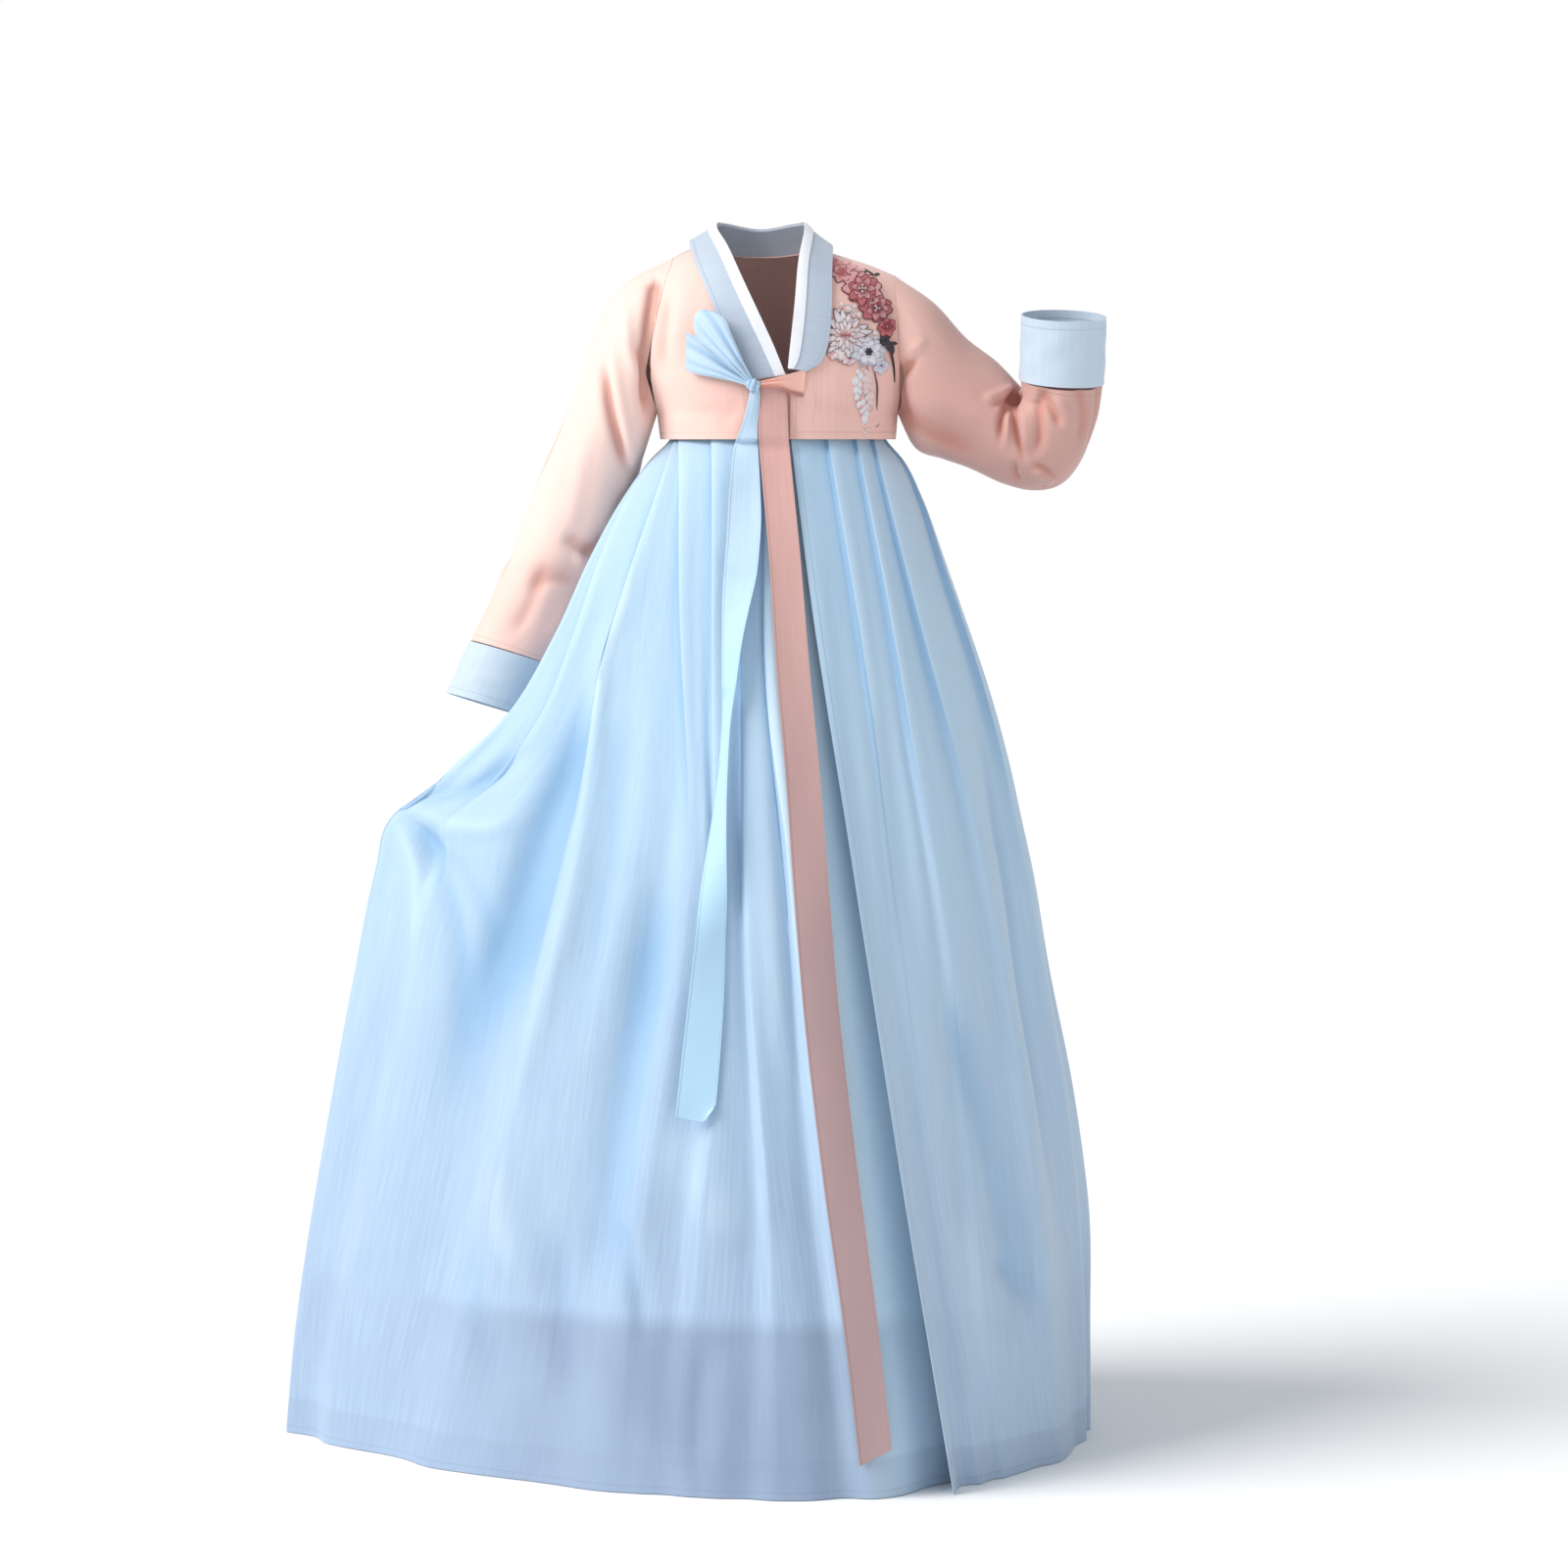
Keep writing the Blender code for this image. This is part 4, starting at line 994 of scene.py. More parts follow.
    def build(self, peach: Material, blue: Material) -> None:
        """Make both sleeves in peach and both cuffs in blue."""
        for word, side, rows, cuff_rows, creases in (
            ("right", RIGHT, self.right, self.right_cuff, self.right_creases),
            ("left", LEFT, self.left, self.left_cuff, self.left_creases),
        ):
            start = self.armhole(side)
            rings = self.sections(rows, side, (start.mean(axis=0), np.array(cuff_rows[1][:3])))
            sleeve = self.tube(np.concatenate([start[None], rings]), self.rows)
            self.ease(sleeve, 1.7 * side, self.sleeve_slack)
            # painted shade in the creases
            sleeve.marks["fold_shading"] = sleeve.press(creases) / self.full_shade_depth
            sleeve.marks["edge"] = self.to_end(self.rows, self.sleeve_reach) + 0.001
            sleeve.sew(f"sleeve_{word}", self.wall, peach, "draped", (f"jacket_front_{word}", f"cuff_{word}"))
            beyond = 2 * np.array(cuff_rows[-1][:3]) - np.array(cuff_rows[-2][:3])
            rings = self.sections(cuff_rows, side, (np.array(rows[-1][:3]), beyond))
            cuff = self.tube(rings, self.cuff_rows)
            self.ease(cuff, 0.9 * side, self.cuff_slack)
            cuff.marks["edge"] = self.to_end(self.cuff_rows, self.cuff_reach)
            cuff.sew(f"cuff_{word}", self.cuff_wall, blue, "draped", (f"sleeve_{word}",))


@dataclass
class Collar:
    """The collar band and the white strip at its inner edge."""

    form: BodyForm
    wall: float = 0.0020
    trim_wall: float = 0.0012
    lift: float = 0.0034
    trim_lift: float = 0.0022
    strip_share: float = 0.27
    strip_end: float = 1.04  # the strip stands a little past the collar's inner edge
    crown: float = 0.0007
    trim_crown: float = 0.0003
    neck_x: float = -0.02
    count: int = 190
    across: int = 20
    trim_across: int = 9
    # outer x, height, y, inner x, height, y; with no y it lies on the front
    rows: tuple = (
        (-0.031, 1.189, None, 0.006, 1.194, None),
        (-0.047, 1.218, None, -0.008, 1.229, None),
        (-0.063, 1.250, None, -0.023, 1.262, None),
        (-0.078, 1.285, None, -0.041, 1.300, None),
        (-0.092, 1.318, None, -0.057, 1.334, -0.034),
        (-0.098, 1.342, 0.010, -0.068, 1.357, -0.004),
        (-0.078, 1.329, 0.049, -0.058, 1.362, 0.036),
        (-0.021, 1.317, 0.072, -0.021, 1.357, 0.054),
        (0.038, 1.328, 0.054, 0.018, 1.362, 0.036),
        (0.056, 1.338, 0.010, 0.027, 1.357, -0.004),
        (0.058, 1.312, None, 0.023, 1.322, -0.042),
        (0.057, 1.270, None, 0.018, 1.276, None),
        (0.054, 1.234, None, 0.014, 1.236, None),
        (0.046, 1.210, None, 0.0115, 1.214, None),
        (0.030, 1.1985, None, 0.0100, 1.2010, None),
    )

    def edges(self) -> list[np.ndarray]:
        """Lay the collar's outer and inner edges on the body."""
        lines = []
        for first in (0, 3):
            line = []
            for row in self.rows:
                x, height, y = row[first : first + 3]
                line.append((x, float(self.form.y(x, height)) if y is None else y, height))
            lines.append(through(line, self.count))
        return lines

    def over_body(self, share: float, further: float) -> np.ndarray:
        """Lay a line of points a share of the way across the collar.

        Args:
            share: 0 at the outer edge and 1 at the inner one.
            further: How far it is lifted off the collar's own middle.

        Returns:
            The points, clear of the body.
        """
        outer, inner = self.edges()
        out = np.cross(inner - outer, np.gradient(outer, axis=0))
        out /= np.linalg.norm(out, axis=1)[:, None]
        points = outer + (inner - outer) * share + out * self.lift
        clear = self.form.y(points[:, 0], points[:, 2] - self.lift) - self.lift
        in_front = points[:, 1] < self.form.middle_y - self.lift
        points[:, 1] = np.where(in_front, np.minimum(points[:, 1], clear), points[:, 1])
        return points + out * further

    def build(self, blue: Material, white: Material) -> None:
        """Make the band and the strip."""
        shares = np.linspace(0, 1, self.across)
        band = np.array([self.over_body(k, self.crown * (1 - (2 * k - 1) ** 2)) for k in shares])
        cloth = Cloth(band, core(band, self.neck_x, self.form.middle_y))
        outer, inner = self.edges()
        broad = np.linalg.norm(inner - outer, axis=1)
        cloth.marks["edge"] = shares[:, None] * broad[None] + 0.003
        cloth.sew("collar", self.wall, blue, "draped", ("jacket_front_left", "jacket_front_right"))
        shares = np.linspace(1 - self.strip_share, self.strip_end, self.trim_across)
        middle = (shares - shares.mean()) / np.ptp(shares) * 2
        lifts = self.trim_lift + self.trim_crown * (1 - middle * middle)
        strip = np.array([self.over_body(share, lift) for share, lift in zip(shares, lifts)])
        inside = core(strip, self.neck_x, self.form.middle_y)
        Cloth(strip, inside).sew("dongjeong", self.trim_wall, white, "laid", ("collar",))


# --- the skirt --------------------------------------------------------------------------------------


@dataclass
class SkirtForm:
    """The form of the skirt: its plan at each height, and the pleats that stand out of it."""

    top: float = 1.155
    left_point: float = 1.2
    front_x: Place = (0.0, 0.020)
    pleat_heights: tuple[float, ...] = (1.125, 0.950, 0.700, 0.000)
    waist_depth: float = 0.0040
    waist_valley: float = 0.92
    hem_valley: float = 0.62
    underlap: Place = (19.05, 19.5)
    inset: Place = (0.006, 0.022)
    front_turn: float = 75
    edges_at: dict = field(default_factory=dict)  # the edges' angles, kept once found
    lines: dict = field(default_factory=dict)
    rings: dict = field(default_factory=dict)
    # height, right side's x, left side's x, front y, back y, right side's y, right side's point
    rows: Rows = (
        (1.155, -0.110, 0.110, -0.092, 0.076, 0.000, 1.0),
        (1.125, -0.117, 0.115, -0.096, 0.080, -0.002, 1.0),
        (1.103, -0.138, 0.133, -0.108, 0.096, -0.012, 1.05),
        (1.060, -0.168, 0.154, -0.124, 0.114, -0.034, 1.15),
        (0.997, -0.202, 0.177, -0.148, 0.140, -0.060, 1.3),
        (0.910, -0.242, 0.207, -0.178, 0.172, -0.080, 1.5),
        (0.818, -0.300, 0.236, -0.207, 0.204, -0.080, 1.7),
        (0.757, -0.362, 0.252, -0.226, 0.224, -0.062, 1.8),
        (0.705, -0.430, 0.263, -0.240, 0.240, -0.040, 1.9),
        (0.646, -0.449, 0.276, -0.256, 0.256, -0.030, 1.9),
        (0.514, -0.478, 0.296, -0.286, 0.288, -0.010, 1.9),
        (0.382, -0.503, 0.318, -0.308, 0.312, 0.000, 2.0),
        (0.250, -0.526, 0.332, -0.322, 0.328, 0.010, 2.0),
        (0.120, -0.545, 0.339, -0.332, 0.338, 0.020, 2.0),
        (0.000, -0.557, 0.340, -0.338, 0.345, 0.030, 2.0),
    )
    # each pleat's edge: its angle at the four heights, then how far it stands out at the lower three
    pleats: Rows = (
        (6, 9, 14, 28, 0.009, 0.016, 0.030), (27, 24, 25, 38, 0.005, 0.002, 0.001),
        (46, 36, 36, 45, 0.007, 0.007, 0.004), (62, 47, 52, 62, 0.008, 0.012, 0.010),
        (92, 76, 76, 84, 0.008, 0.008, 0.010), (110, 102, 100, 100, 0.011, 0.015, 0.020),
        (129, 125, 123, 121, 0.008, 0.009, 0.012), (151, 149, 148, 147, 0.012, 0.017, 0.025),
        (171, 170, 169, 168, 0.008, 0.010, 0.014), (195, 193, 192, 193, 0.012, 0.017, 0.027),
        (215, 214, 212, 212, 0.008, 0.010, 0.012), (239, 236, 235, 235, 0.011, 0.015, 0.023),
        (257, 256, 255, 256, 0.008, 0.011, 0.013), (270, 274, 280, 278, 0.006, 0.008, 0.009),
        (279, 292, 304, 298, 0.008, 0.010, 0.010), (287, 311, 329, 318, 0.009, 0.014, 0.015),
        (293, 331, 346, 340, 0.006, 0.006, 0.007), (322, 341, 350, 350, 0.006, 0.005, 0.006),
        (342, 349, 355, 358, 0.006, 0.010, 0.010), (354, 356, 360, 374, 0.007, 0.014, 0.014),
        (388, 390, 392, 405, 0.002, 0.002, 0.002),
    )

    def plan(self, height: float, angle: np.ndarray) -> np.ndarray:
        """Find the plan's points at a height, before the pleats."""
        x_right, x_left, y_front, y_back, y_side, point = (along(self.rows, height, k) for k in range(1, 7))
        drop = (self.top - height) / self.top
        x_front = self.front_x[0] + (self.front_x[1] - self.front_x[0]) * drop
        sine, cosine = np.sin(angle), np.cos(angle)
        left = sine >= 0
        x = x_front + sine * np.where(left, x_left - x_front, x_front - x_right)
        side_y = np.where(left, 0.0, y_side)
        end_y = np.where(cosine >= 0, y_front, y_back)
        y = side_y + (end_y - side_y) * np.abs(cosine) ** np.where(left, self.left_point, point)
        return np.stack([x, y], axis=-1)

    def angle(self, number: np.ndarray, height: float) -> np.ndarray:
        """Find the angle round the plan of a place in the pleats; whole numbers are the pleats' edges."""
        if height not in self.edges_at:
            self.edges_at[height] = [self.edge_angle(row[:4], height) for row in self.pleats]
        degrees = np.interp(number, np.arange(len(self.pleats)), self.edges_at[height])
        sway = 0.9 * np.sin(number * 2.1 + height * 7.0) * smooth((self.pleat_heights[0] - height) / 0.5)
        sway = sway * smooth(number / 1.2) * smooth((20 - number) / 2.5)
        return np.radians(degrees + sway)

    def edge_angle(self, angles: tuple[float, ...], height: float) -> float:
        """Find one edge's angle at a height; an edge that stays in front runs evenly across, not round."""
        turns = (np.array(angles, float) + 180) % 360 - 180
        if np.abs(turns).max() > self.front_turn:
            return float(along(np.column_stack([self.pleat_heights, angles]), height, 1))
        if angles not in self.lines:
            xs = [self.plan(at, np.radians([turn]))[0, 0] for at, turn in zip(self.pleat_heights, turns)]
            self.lines[angles] = np.column_stack([self.pleat_heights, xs])
        x = float(along(self.lines[angles], height, 1))
        middle, side = self.plan(height, np.radians([0.0, math.copysign(90, turns.sum())]))[:, 0]
        share = np.clip((x - middle) / abs(side - middle), -1, 1)
        return float(angles[0] - turns[0] + np.degrees(np.arcsin(share)))

    def depth(self, number: np.ndarray, height: float) -> np.ndarray:
        """Find how far the cloth stands out of the plan at a place in the pleats."""
        table = np.array(self.pleats, float)
        upper, lower = self.pleat_heights[0], self.pleat_heights[-1]
        marks = np.vstack([np.full(len(table), self.waist_depth), table[:, 4:].T])[::-1]
        depths = np.array([np.interp(height, self.pleat_heights[::-1], mark) for mark in marks.T])
        first = np.minimum(np.floor(number).astype(int), len(table) - 2)
        between = number - first
        ridge = depths[first] + (depths[first + 1] - depths[first]) * between
        down = smooth((upper - height) / (upper - lower))
        valley = self.waist_valley + (self.hem_valley - self.waist_valley) * down
        falling = 0.5 + 0.5 * np.cos(math.pi * np.minimum(between / valley, 1))
        rising = 0.5 - 0.5 * np.cos(math.pi * np.clip((between - valley) / (1 - valley), 0, 1))
        return ridge * np.where(between < valley, falling, rising)

    def fold_shading(self, number: np.ndarray, height: float) -> np.ndarray:
        """Find a pleat step's painted shade, below 0 under an edge, and its painted highlight and light,
        above 0.
        """
        between = number - np.floor(number)
        crisp = smooth((height - 0.62) / 0.42)
        broad = 0.09 + 0.08 * (1 - crisp)
        # painted shade under a pleat's edge, partly the deeper tone where the sheer layers overlap
        under = np.exp(-(((1 - between) / broad) ** 2)) + 0.45 * np.exp(-(((1 - between) / 0.35) ** 2))
        # painted highlight on the pleat
        painted_highlight = np.exp(-((between / 0.30) ** 2))
        # painted light past the over front's edge, where its shadow falls
        painted_light_past_edge = smooth((number - 18.8) / 0.3)
        return (0.40 * painted_highlight - 0.95 * under) * (0.15 + 0.85 * crisp) * (1 - painted_light_past_edge) + 0.8 * painted_light_past_edge

    def slack(self, number: np.ndarray, height: float) -> np.ndarray:
        """Find how far the cloth's smaller, uneven ripples stand out."""
        drop = (self.top - height) / self.top
        broad = np.sin(number * 5.1 + 3.2 * drop) * np.sin(number * 1.7 + 6.1 * drop + 0.8)
        fine = np.sin(number * 9.7 - 4.0 * drop) * np.sin(number * 2.9 + 9.0 * drop)
        return (0.0022 * broad + 0.0010 * fine) * smooth(drop * 2.4)

    def ring(self, numbers: np.ndarray, height: float) -> np.ndarray:
        """Lay the skirt's points at one height, at the given places in its pleats."""
        angle = self.angle(numbers, height)
        plan, step = self.plan(height, angle), 1e-3
        direction = self.plan(height, angle + step) - self.plan(height, angle - step)
        out = np.stack([direction[:, 1], -direction[:, 0]], axis=-1)
        out /= np.linalg.norm(out, axis=1)[:, None]
        first, last = self.underlap
        under = smooth((numbers - first) / (last - first))
        drop = (self.top - height) / self.top
        depth = self.depth(numbers, height) + self.slack(numbers, height)
        depth = depth - under * (self.inset[0] + (self.inset[1] - self.inset[0]) * drop)
        return np.column_stack([plan + out * depth[:, None], np.full(len(numbers), height)])

    def front_y(self, x: float, height: float) -> float:
        """Find the foremost y of the skirt's cloth at a place in front."""
        if height not in self.rings:
            self.rings[height] = self.ring(np.linspace(0, len(self.pleats) - 1, 700), height)
        ring = self.rings[height]
        near = (ring[:, 1] < -0.02) & (np.abs(ring[:, 0] - x) < 0.008)
        return float(ring[near, 1].min())


@dataclass
class Skirt:
    """The wrap skirt's widths of cloth and its band."""

    form: SkirtForm
    wall: float = 0.0010
    band_wall: float = 0.0012
    band_top: float = 1.197
    gap: float = 0.00006
    row_count: int = 200
    band_columns: int = 129
    band_rows: int = 10
    middle_x: float = -0.05
    # the crease depth that gives the full painted shade or highlight
    full_shade_depth: float = 0.014  # how far a crease goes in or out at its deepest tone
    steps: tuple[float, ...] = (
        0.0, 0.05, 0.11, 0.18, 0.25, 0.32, 0.39, 0.46, 0.52, 0.58, 0.63, 0.68, 0.73, 0.78, 0.82, 0.86,
        0.89, 0.92, 0.94, 0.96, 0.98,
    )
    # height, x of the line past which the under front lies in the shade of the over front
    shade_line: Rows = ((1.120, 0.010), (0.880, 0.034), (0.640, 0.054), (0.340, 0.086), (0.000, 0.124))
    widths: tuple = (
        ("skirt_over_front", 0.0, 3.5),
        ("skirt_left_side", 3.5, 6.5),
        ("skirt_back_left", 6.5, 9.5),
        ("skirt_back_right", 9.5, 11.6),
        ("skirt_right_side", 11.6, 15.5),
        ("skirt_under_front", 15.5, 20.0),
    )
    creases: tuple[Crease, ...] = (
        Crease(((-0.180, 0.900), (-0.208, 0.835), (-0.235, 0.750), (-0.260, 0.687), (-0.294, 0.590),
                (-0.318, 0.536), (-0.361, 0.407), (-0.383, 0.284)), 0.026, -0.014, lean=1.5),
        Crease(((-0.150, 1.070), (-0.166, 0.958), (-0.190, 0.885), (-0.201, 0.796), (-0.216, 0.688),
                (-0.233, 0.604), (-0.249, 0.541), (-0.293, 0.379), (-0.337, 0.215)), 0.013, 0.008, lean=0.6),
        Crease(((-0.158, 0.900), (-0.170, 0.780), (-0.186, 0.660), (-0.206, 0.560), (-0.240, 0.420)),
               0.018, -0.006),
        Crease(((-0.124, 0.700), (-0.134, 0.619), (-0.152, 0.504), (-0.168, 0.410), (-0.189, 0.242),
                (-0.196, 0.150)), 0.022, -0.011),
        Crease(((-0.176, 0.300), (-0.155, 0.234), (-0.141, 0.150)), 0.013, -0.006),
        Crease(((-0.028, 0.958), (-0.020, 0.830), (-0.009, 0.662), (0.000, 0.520), (0.018, 0.350)),
               0.015, 0.006),
        Crease(((-0.118, 0.420), (-0.084, 0.330), (-0.040, 0.250)), 0.032, 0.005),
        Crease(((-0.318, 0.380), (-0.300, 0.280), (-0.280, 0.200)), 0.020, 0.005),
        Crease(((-0.340, 0.280), (-0.325, 0.180), (-0.300, 0.060)), 0.020, -0.007),
        Crease(((-0.240, 0.300), (-0.230, 0.180), (-0.222, 0.040)), 0.018, -0.006),
        Crease(((-0.082, 0.180), (-0.086, 0.100), (-0.094, 0.000)), 0.018, -0.005, from_edge=False),
        Crease(((0.112, 0.860), (0.128, 0.700), (0.136, 0.540)), 0.018, -0.004),
        Crease(((0.190, 0.560), (0.202, 0.477), (0.229, 0.369), (0.257, 0.228), (0.268, 0.120)),
               0.020, -0.010),
        Crease(((0.222, 0.250), (0.262, 0.215), (0.285, 0.170)), 0.012, -0.005),
        Crease(((0.196, 0.330), (0.212, 0.200), (0.226, 0.060)), 0.016, 0.006),
        Crease(((-0.424, 0.722), (-0.376, 0.655), (-0.352, 0.560), (-0.352, 0.440)), 0.013, -0.008,
               from_edge=True),
        Crease(((-0.424, 0.716), (-0.396, 0.630), (-0.398, 0.520)), 0.011, 0.007, from_edge=True),
        Crease(((-0.418, 0.728), (-0.335, 0.745), (-0.258, 0.796)), 0.009, -0.007, from_edge=True),
        Crease(((-0.418, 0.734), (-0.350, 0.775), (-0.292, 0.845)), 0.008, 0.006, from_edge=True),
        Crease(((-0.420, 0.712), (-0.330, 0.700), (-0.262, 0.724)), 0.011, 0.005, from_edge=True),
        Crease(((-0.420, 0.708), (-0.345, 0.650), (-0.300, 0.560)), 0.012, -0.005, from_edge=True),
        Crease(((-0.400, 0.712), (-0.300, 0.720), (-0.215, 0.800)), 0.014, -0.009, View.BACK, 1.4, True),
        Crease(((-0.405, 0.700), (-0.345, 0.600), (-0.310, 0.420)), 0.017, -0.010, View.BACK, 1.0, True),
        Crease(((-0.405, 0.706), (-0.320, 0.660), (-0.240, 0.560)), 0.014, 0.007, View.BACK, 1.0, True),
        Crease(((-0.110, 1.080), (-0.150, 0.850), (-0.190, 0.560), (-0.215, 0.300)), 0.020, -0.010,
               View.BACK),
        Crease(((0.060, 1.080), (0.080, 0.800), (0.096, 0.480), (0.104, 0.200)), 0.020, -0.009, View.BACK),
        Crease(((-0.030, 0.700), (-0.036, 0.450), (-0.030, 0.160)), 0.026, 0.008, View.BACK),
        Crease(((-0.060, 0.900), (-0.100, 0.560), (-0.110, 0.200)), 0.022, -0.009, View.LEFT),
        Crease(((0.070, 0.900), (0.120, 0.560), (0.150, 0.200)), 0.022, -0.009, View.LEFT),
        Crease(((0.010, 0.600), (0.020, 0.350), (0.040, 0.100)), 0.024, 0.007, View.LEFT),
    )

    def places(self, first: float, last: float) -> np.ndarray:
        """List the places in the pleats where a width has its columns."""
        every = np.array([k + step for k in range(len(self.form.pleats)) for step in self.steps])
        inside = every[(every > first + 0.01) & (every < last - 0.01)]
        return np.concatenate([[first], inside, [last]])

    def build(self, finish: Material) -> None:
        """Make the widths and the band."""
        heights = np.linspace(self.form.top, 0, self.row_count)
        wraps = (self.widths[0][1], self.widths[-1][2])
        for name, first, last in self.widths:
            numbers = self.places(first, last)
            points = np.array([self.form.ring(numbers, height) for height in heights])
            for end, edge, sign in ((0, first, 1), (-1, last, -1)):
                if edge not in wraps:
                    inward = points[:, end + sign] - points[:, end]
                    points[:, end] += inward / np.linalg.norm(inward, axis=1)[:, None] * self.gap / 2
            cloth = Cloth(points, core(points, x=self.middle_x))
            # painted shade and highlight of the pleats' steps and the creases
            steps = np.array([self.form.fold_shading(numbers, height) for height in heights])
            cloth.marks["fold_shading"] = steps + cloth.press(self.creases) / self.full_shade_depth
            edge = points[..., 2] + 0.0
            for end, place in ((0, first), (-1, last)):
                if place in wraps:
                    way = np.linalg.norm(points - points[:, end][:, None], axis=-1)
                    edge = np.minimum(edge, way + 0.001)
            cloth.marks["edge"] = edge
            # painted light on the under front where the over front's shadow falls
            if last == wraps[1]:
                line = along(self.shade_line, points[..., 2], 1)
                cloth.marks["under"] = smooth((points[..., 0] - line) / 0.012) * (points[..., 1] < 0)
            cloth.sew(name, self.wall, finish, "gathered", ("waistband",))
        angles = np.linspace(0, 2 * math.pi, self.band_columns)
        plan = self.form.plan(self.form.top, angles)
        band_heights = np.linspace(self.band_top, self.form.top + 0.001, self.band_rows)
        rings = np.array([np.column_stack([plan, np.full(len(angles), k)]) for k in band_heights])
        band = Cloth(rings, rings[:, :-1].mean(axis=1, keepdims=True), closed=True)
        band.marks["edge"] = np.repeat((self.band_top - band_heights)[:, None], len(angles), axis=1)
        band.sew("waistband", self.band_wall, finish, "draped", ("skirt_over_front",))


# --- the ties ---------------------------------------------------------------------------------------


@dataclass
class Ties:
    """The jacket's two long ties, and the bow they make: a loop, a short end, a stub and the knot."""

    body: BodyForm
    skirt: SkirtForm
    wall: float = 0.0009
    lift: float = 0.0050
    knot: Place = (-0.028, 1.184)
    knot_size: tuple[float, float, float] = (0.0145, 0.0125, 0.0150)
    knot_cuts: int = 23
    knot_lift: float = 0.0148
    bow_lift: float = 0.0105
    stub_lift: float = 0.0022
    tail_rows: int = 220
    tail_columns: int = 15
    peach_stations: int = 60
    blue_stations: int = 90
    peach_slant: float = 0.009  # how far an end's corner hangs below its middle
    blue_slant: float = 0.004
    blue_corner: float = 0.016  # how far the blue tie's left corner is turned up
    stub_grid: tuple[int, int] = (30, 19)
    # x, height, width, turn in degrees, further lift
    peach_tail: Rows = (
        (-0.010, 1.188, 0.020, 0, 0.003),
        (-0.007, 1.178, 0.028, 0, 0.003),
        (-0.006, 1.150, 0.031, 0, 0.002),
        (-0.005, 1.115, 0.033, 0, 0.004),
        (0.006, 1.000, 0.034, 0, 0.002),
        (0.015, 0.880, 0.036, 0, 0.000),
        (0.026, 0.760, 0.037, 3, 0.000),
        (0.035, 0.640, 0.038, 5, 0.000),
        (0.047, 0.500, 0.038, 4, 0.000),
        (0.066, 0.340, 0.038, 0, 0.000),
        (0.085, 0.200, 0.037, -3, 0.000),
        (0.103, 0.045, 0.034, -4, 0.000),
    )
    blue_tail: Rows = (
        (-0.0265, 1.181, 0.009, 0, 0.007),
        (-0.027, 1.169, 0.012, 0, 0.006),
        (-0.032, 1.140, 0.017, -5, 0.003),
        (-0.036, 1.118, 0.026, -5, 0.003),
        (-0.037, 1.085, 0.032, 0, 0.004),
        (-0.038, 1.030, 0.037, -4, 0.001),
        (-0.041, 0.985, 0.037, -12, 0.001),
        (-0.046, 0.945, 0.033, -26, 0.002),
        (-0.050, 0.905, 0.027, -38, 0.003),
        (-0.053, 0.865, 0.022, -48, 0.004),
        (-0.057, 0.815, 0.018, -56, 0.005),
        (-0.061, 0.757, 0.018, -54, 0.005),
        (-0.066, 0.700, 0.024, -38, 0.004),
        (-0.070, 0.640, 0.029, -10, 0.003),
        (-0.073, 0.590, 0.034, 16, 0.003),
        (-0.0785, 0.517, 0.039, 10, 0.001),
        (-0.087, 0.427, 0.042, 4, 0.000),
        (-0.090, 0.402, 0.041, 4, 0.000),
    )
    bow_rows: int = 40
    bow_turn_rows: int = 16
    bow_columns: int = 33
    bow_start: float = 0.002
    bow_foot: float = 0.007  # how wide a ribbon is where it leaves the knot
    loop_gap: float = 0.010
    # piece, length, angle in degrees, width at its end, how soon it widens, how round its end is, slant, lift
    bow_parts: tuple = (
        ("bow_loop", 0.101, 127, 0.036, 1.15, 0.20, 0.0, 0.010),
        ("bow_short_end", 0.083, 153, 0.037, 1.05, 0.0, 0.11, 0.0),
    )
    # x, height, width
    stub: Rows = ((0.028, 1.186, 0.030), (0.016, 1.186, 0.024), (0.001, 1.187, 0.013), (-0.020, 1.185, 0.006))

    def front_y(self, x: float, height: float) -> float:
        """Find the foremost y of the skirt, or of the jacket above its hem."""
        return float(self.body.y(x, height)) if height > self.body.hem else self.skirt.front_y(x, height)

    def tail(self, rows: Rows, stations: int, ripple: float) -> np.ndarray:
        """Lay a long tie in front of the cloth behind it.

        Args:
            rows: Its route.
            stations: How many places of the route are set off the cloth behind.
            ripple: How far its face waves in and out.

        Returns:
            The points.
        """
        route = []
        for x, height, width, turn, lift in through(rows, stations):
            half = heading(turn) * width / 2
            behind = min(self.front_y(x + k * half[0], height) for k in (-1, 0, 1))
            route.append((x, behind - abs(half[1]) - self.lift - lift, height, *half))
        route = through(route, self.tail_rows)
        shares = np.linspace(-1, 1, self.tail_columns)
        level = np.zeros(self.tail_rows)
        half = np.column_stack([route[:, 3:5], level])
        points = route[:, None, :3] + half[:, None] * shares[None, :, None]
        way = np.linspace(0, 1, self.tail_rows)[:, None]
        out = np.stack([half[:, 1], -half[:, 0], level], axis=-1)
        out /= np.linalg.norm(out, axis=1)[:, None]
        wave = ripple * np.sin(way * 31 + 1.3 * shares) * np.sin(way * 13 + 0.7)
        cup = -0.0012 * (shares**2)[None] * np.sin(way * 9 + 1.0)
        return points + out[:, None] * (wave + cup)[..., None]

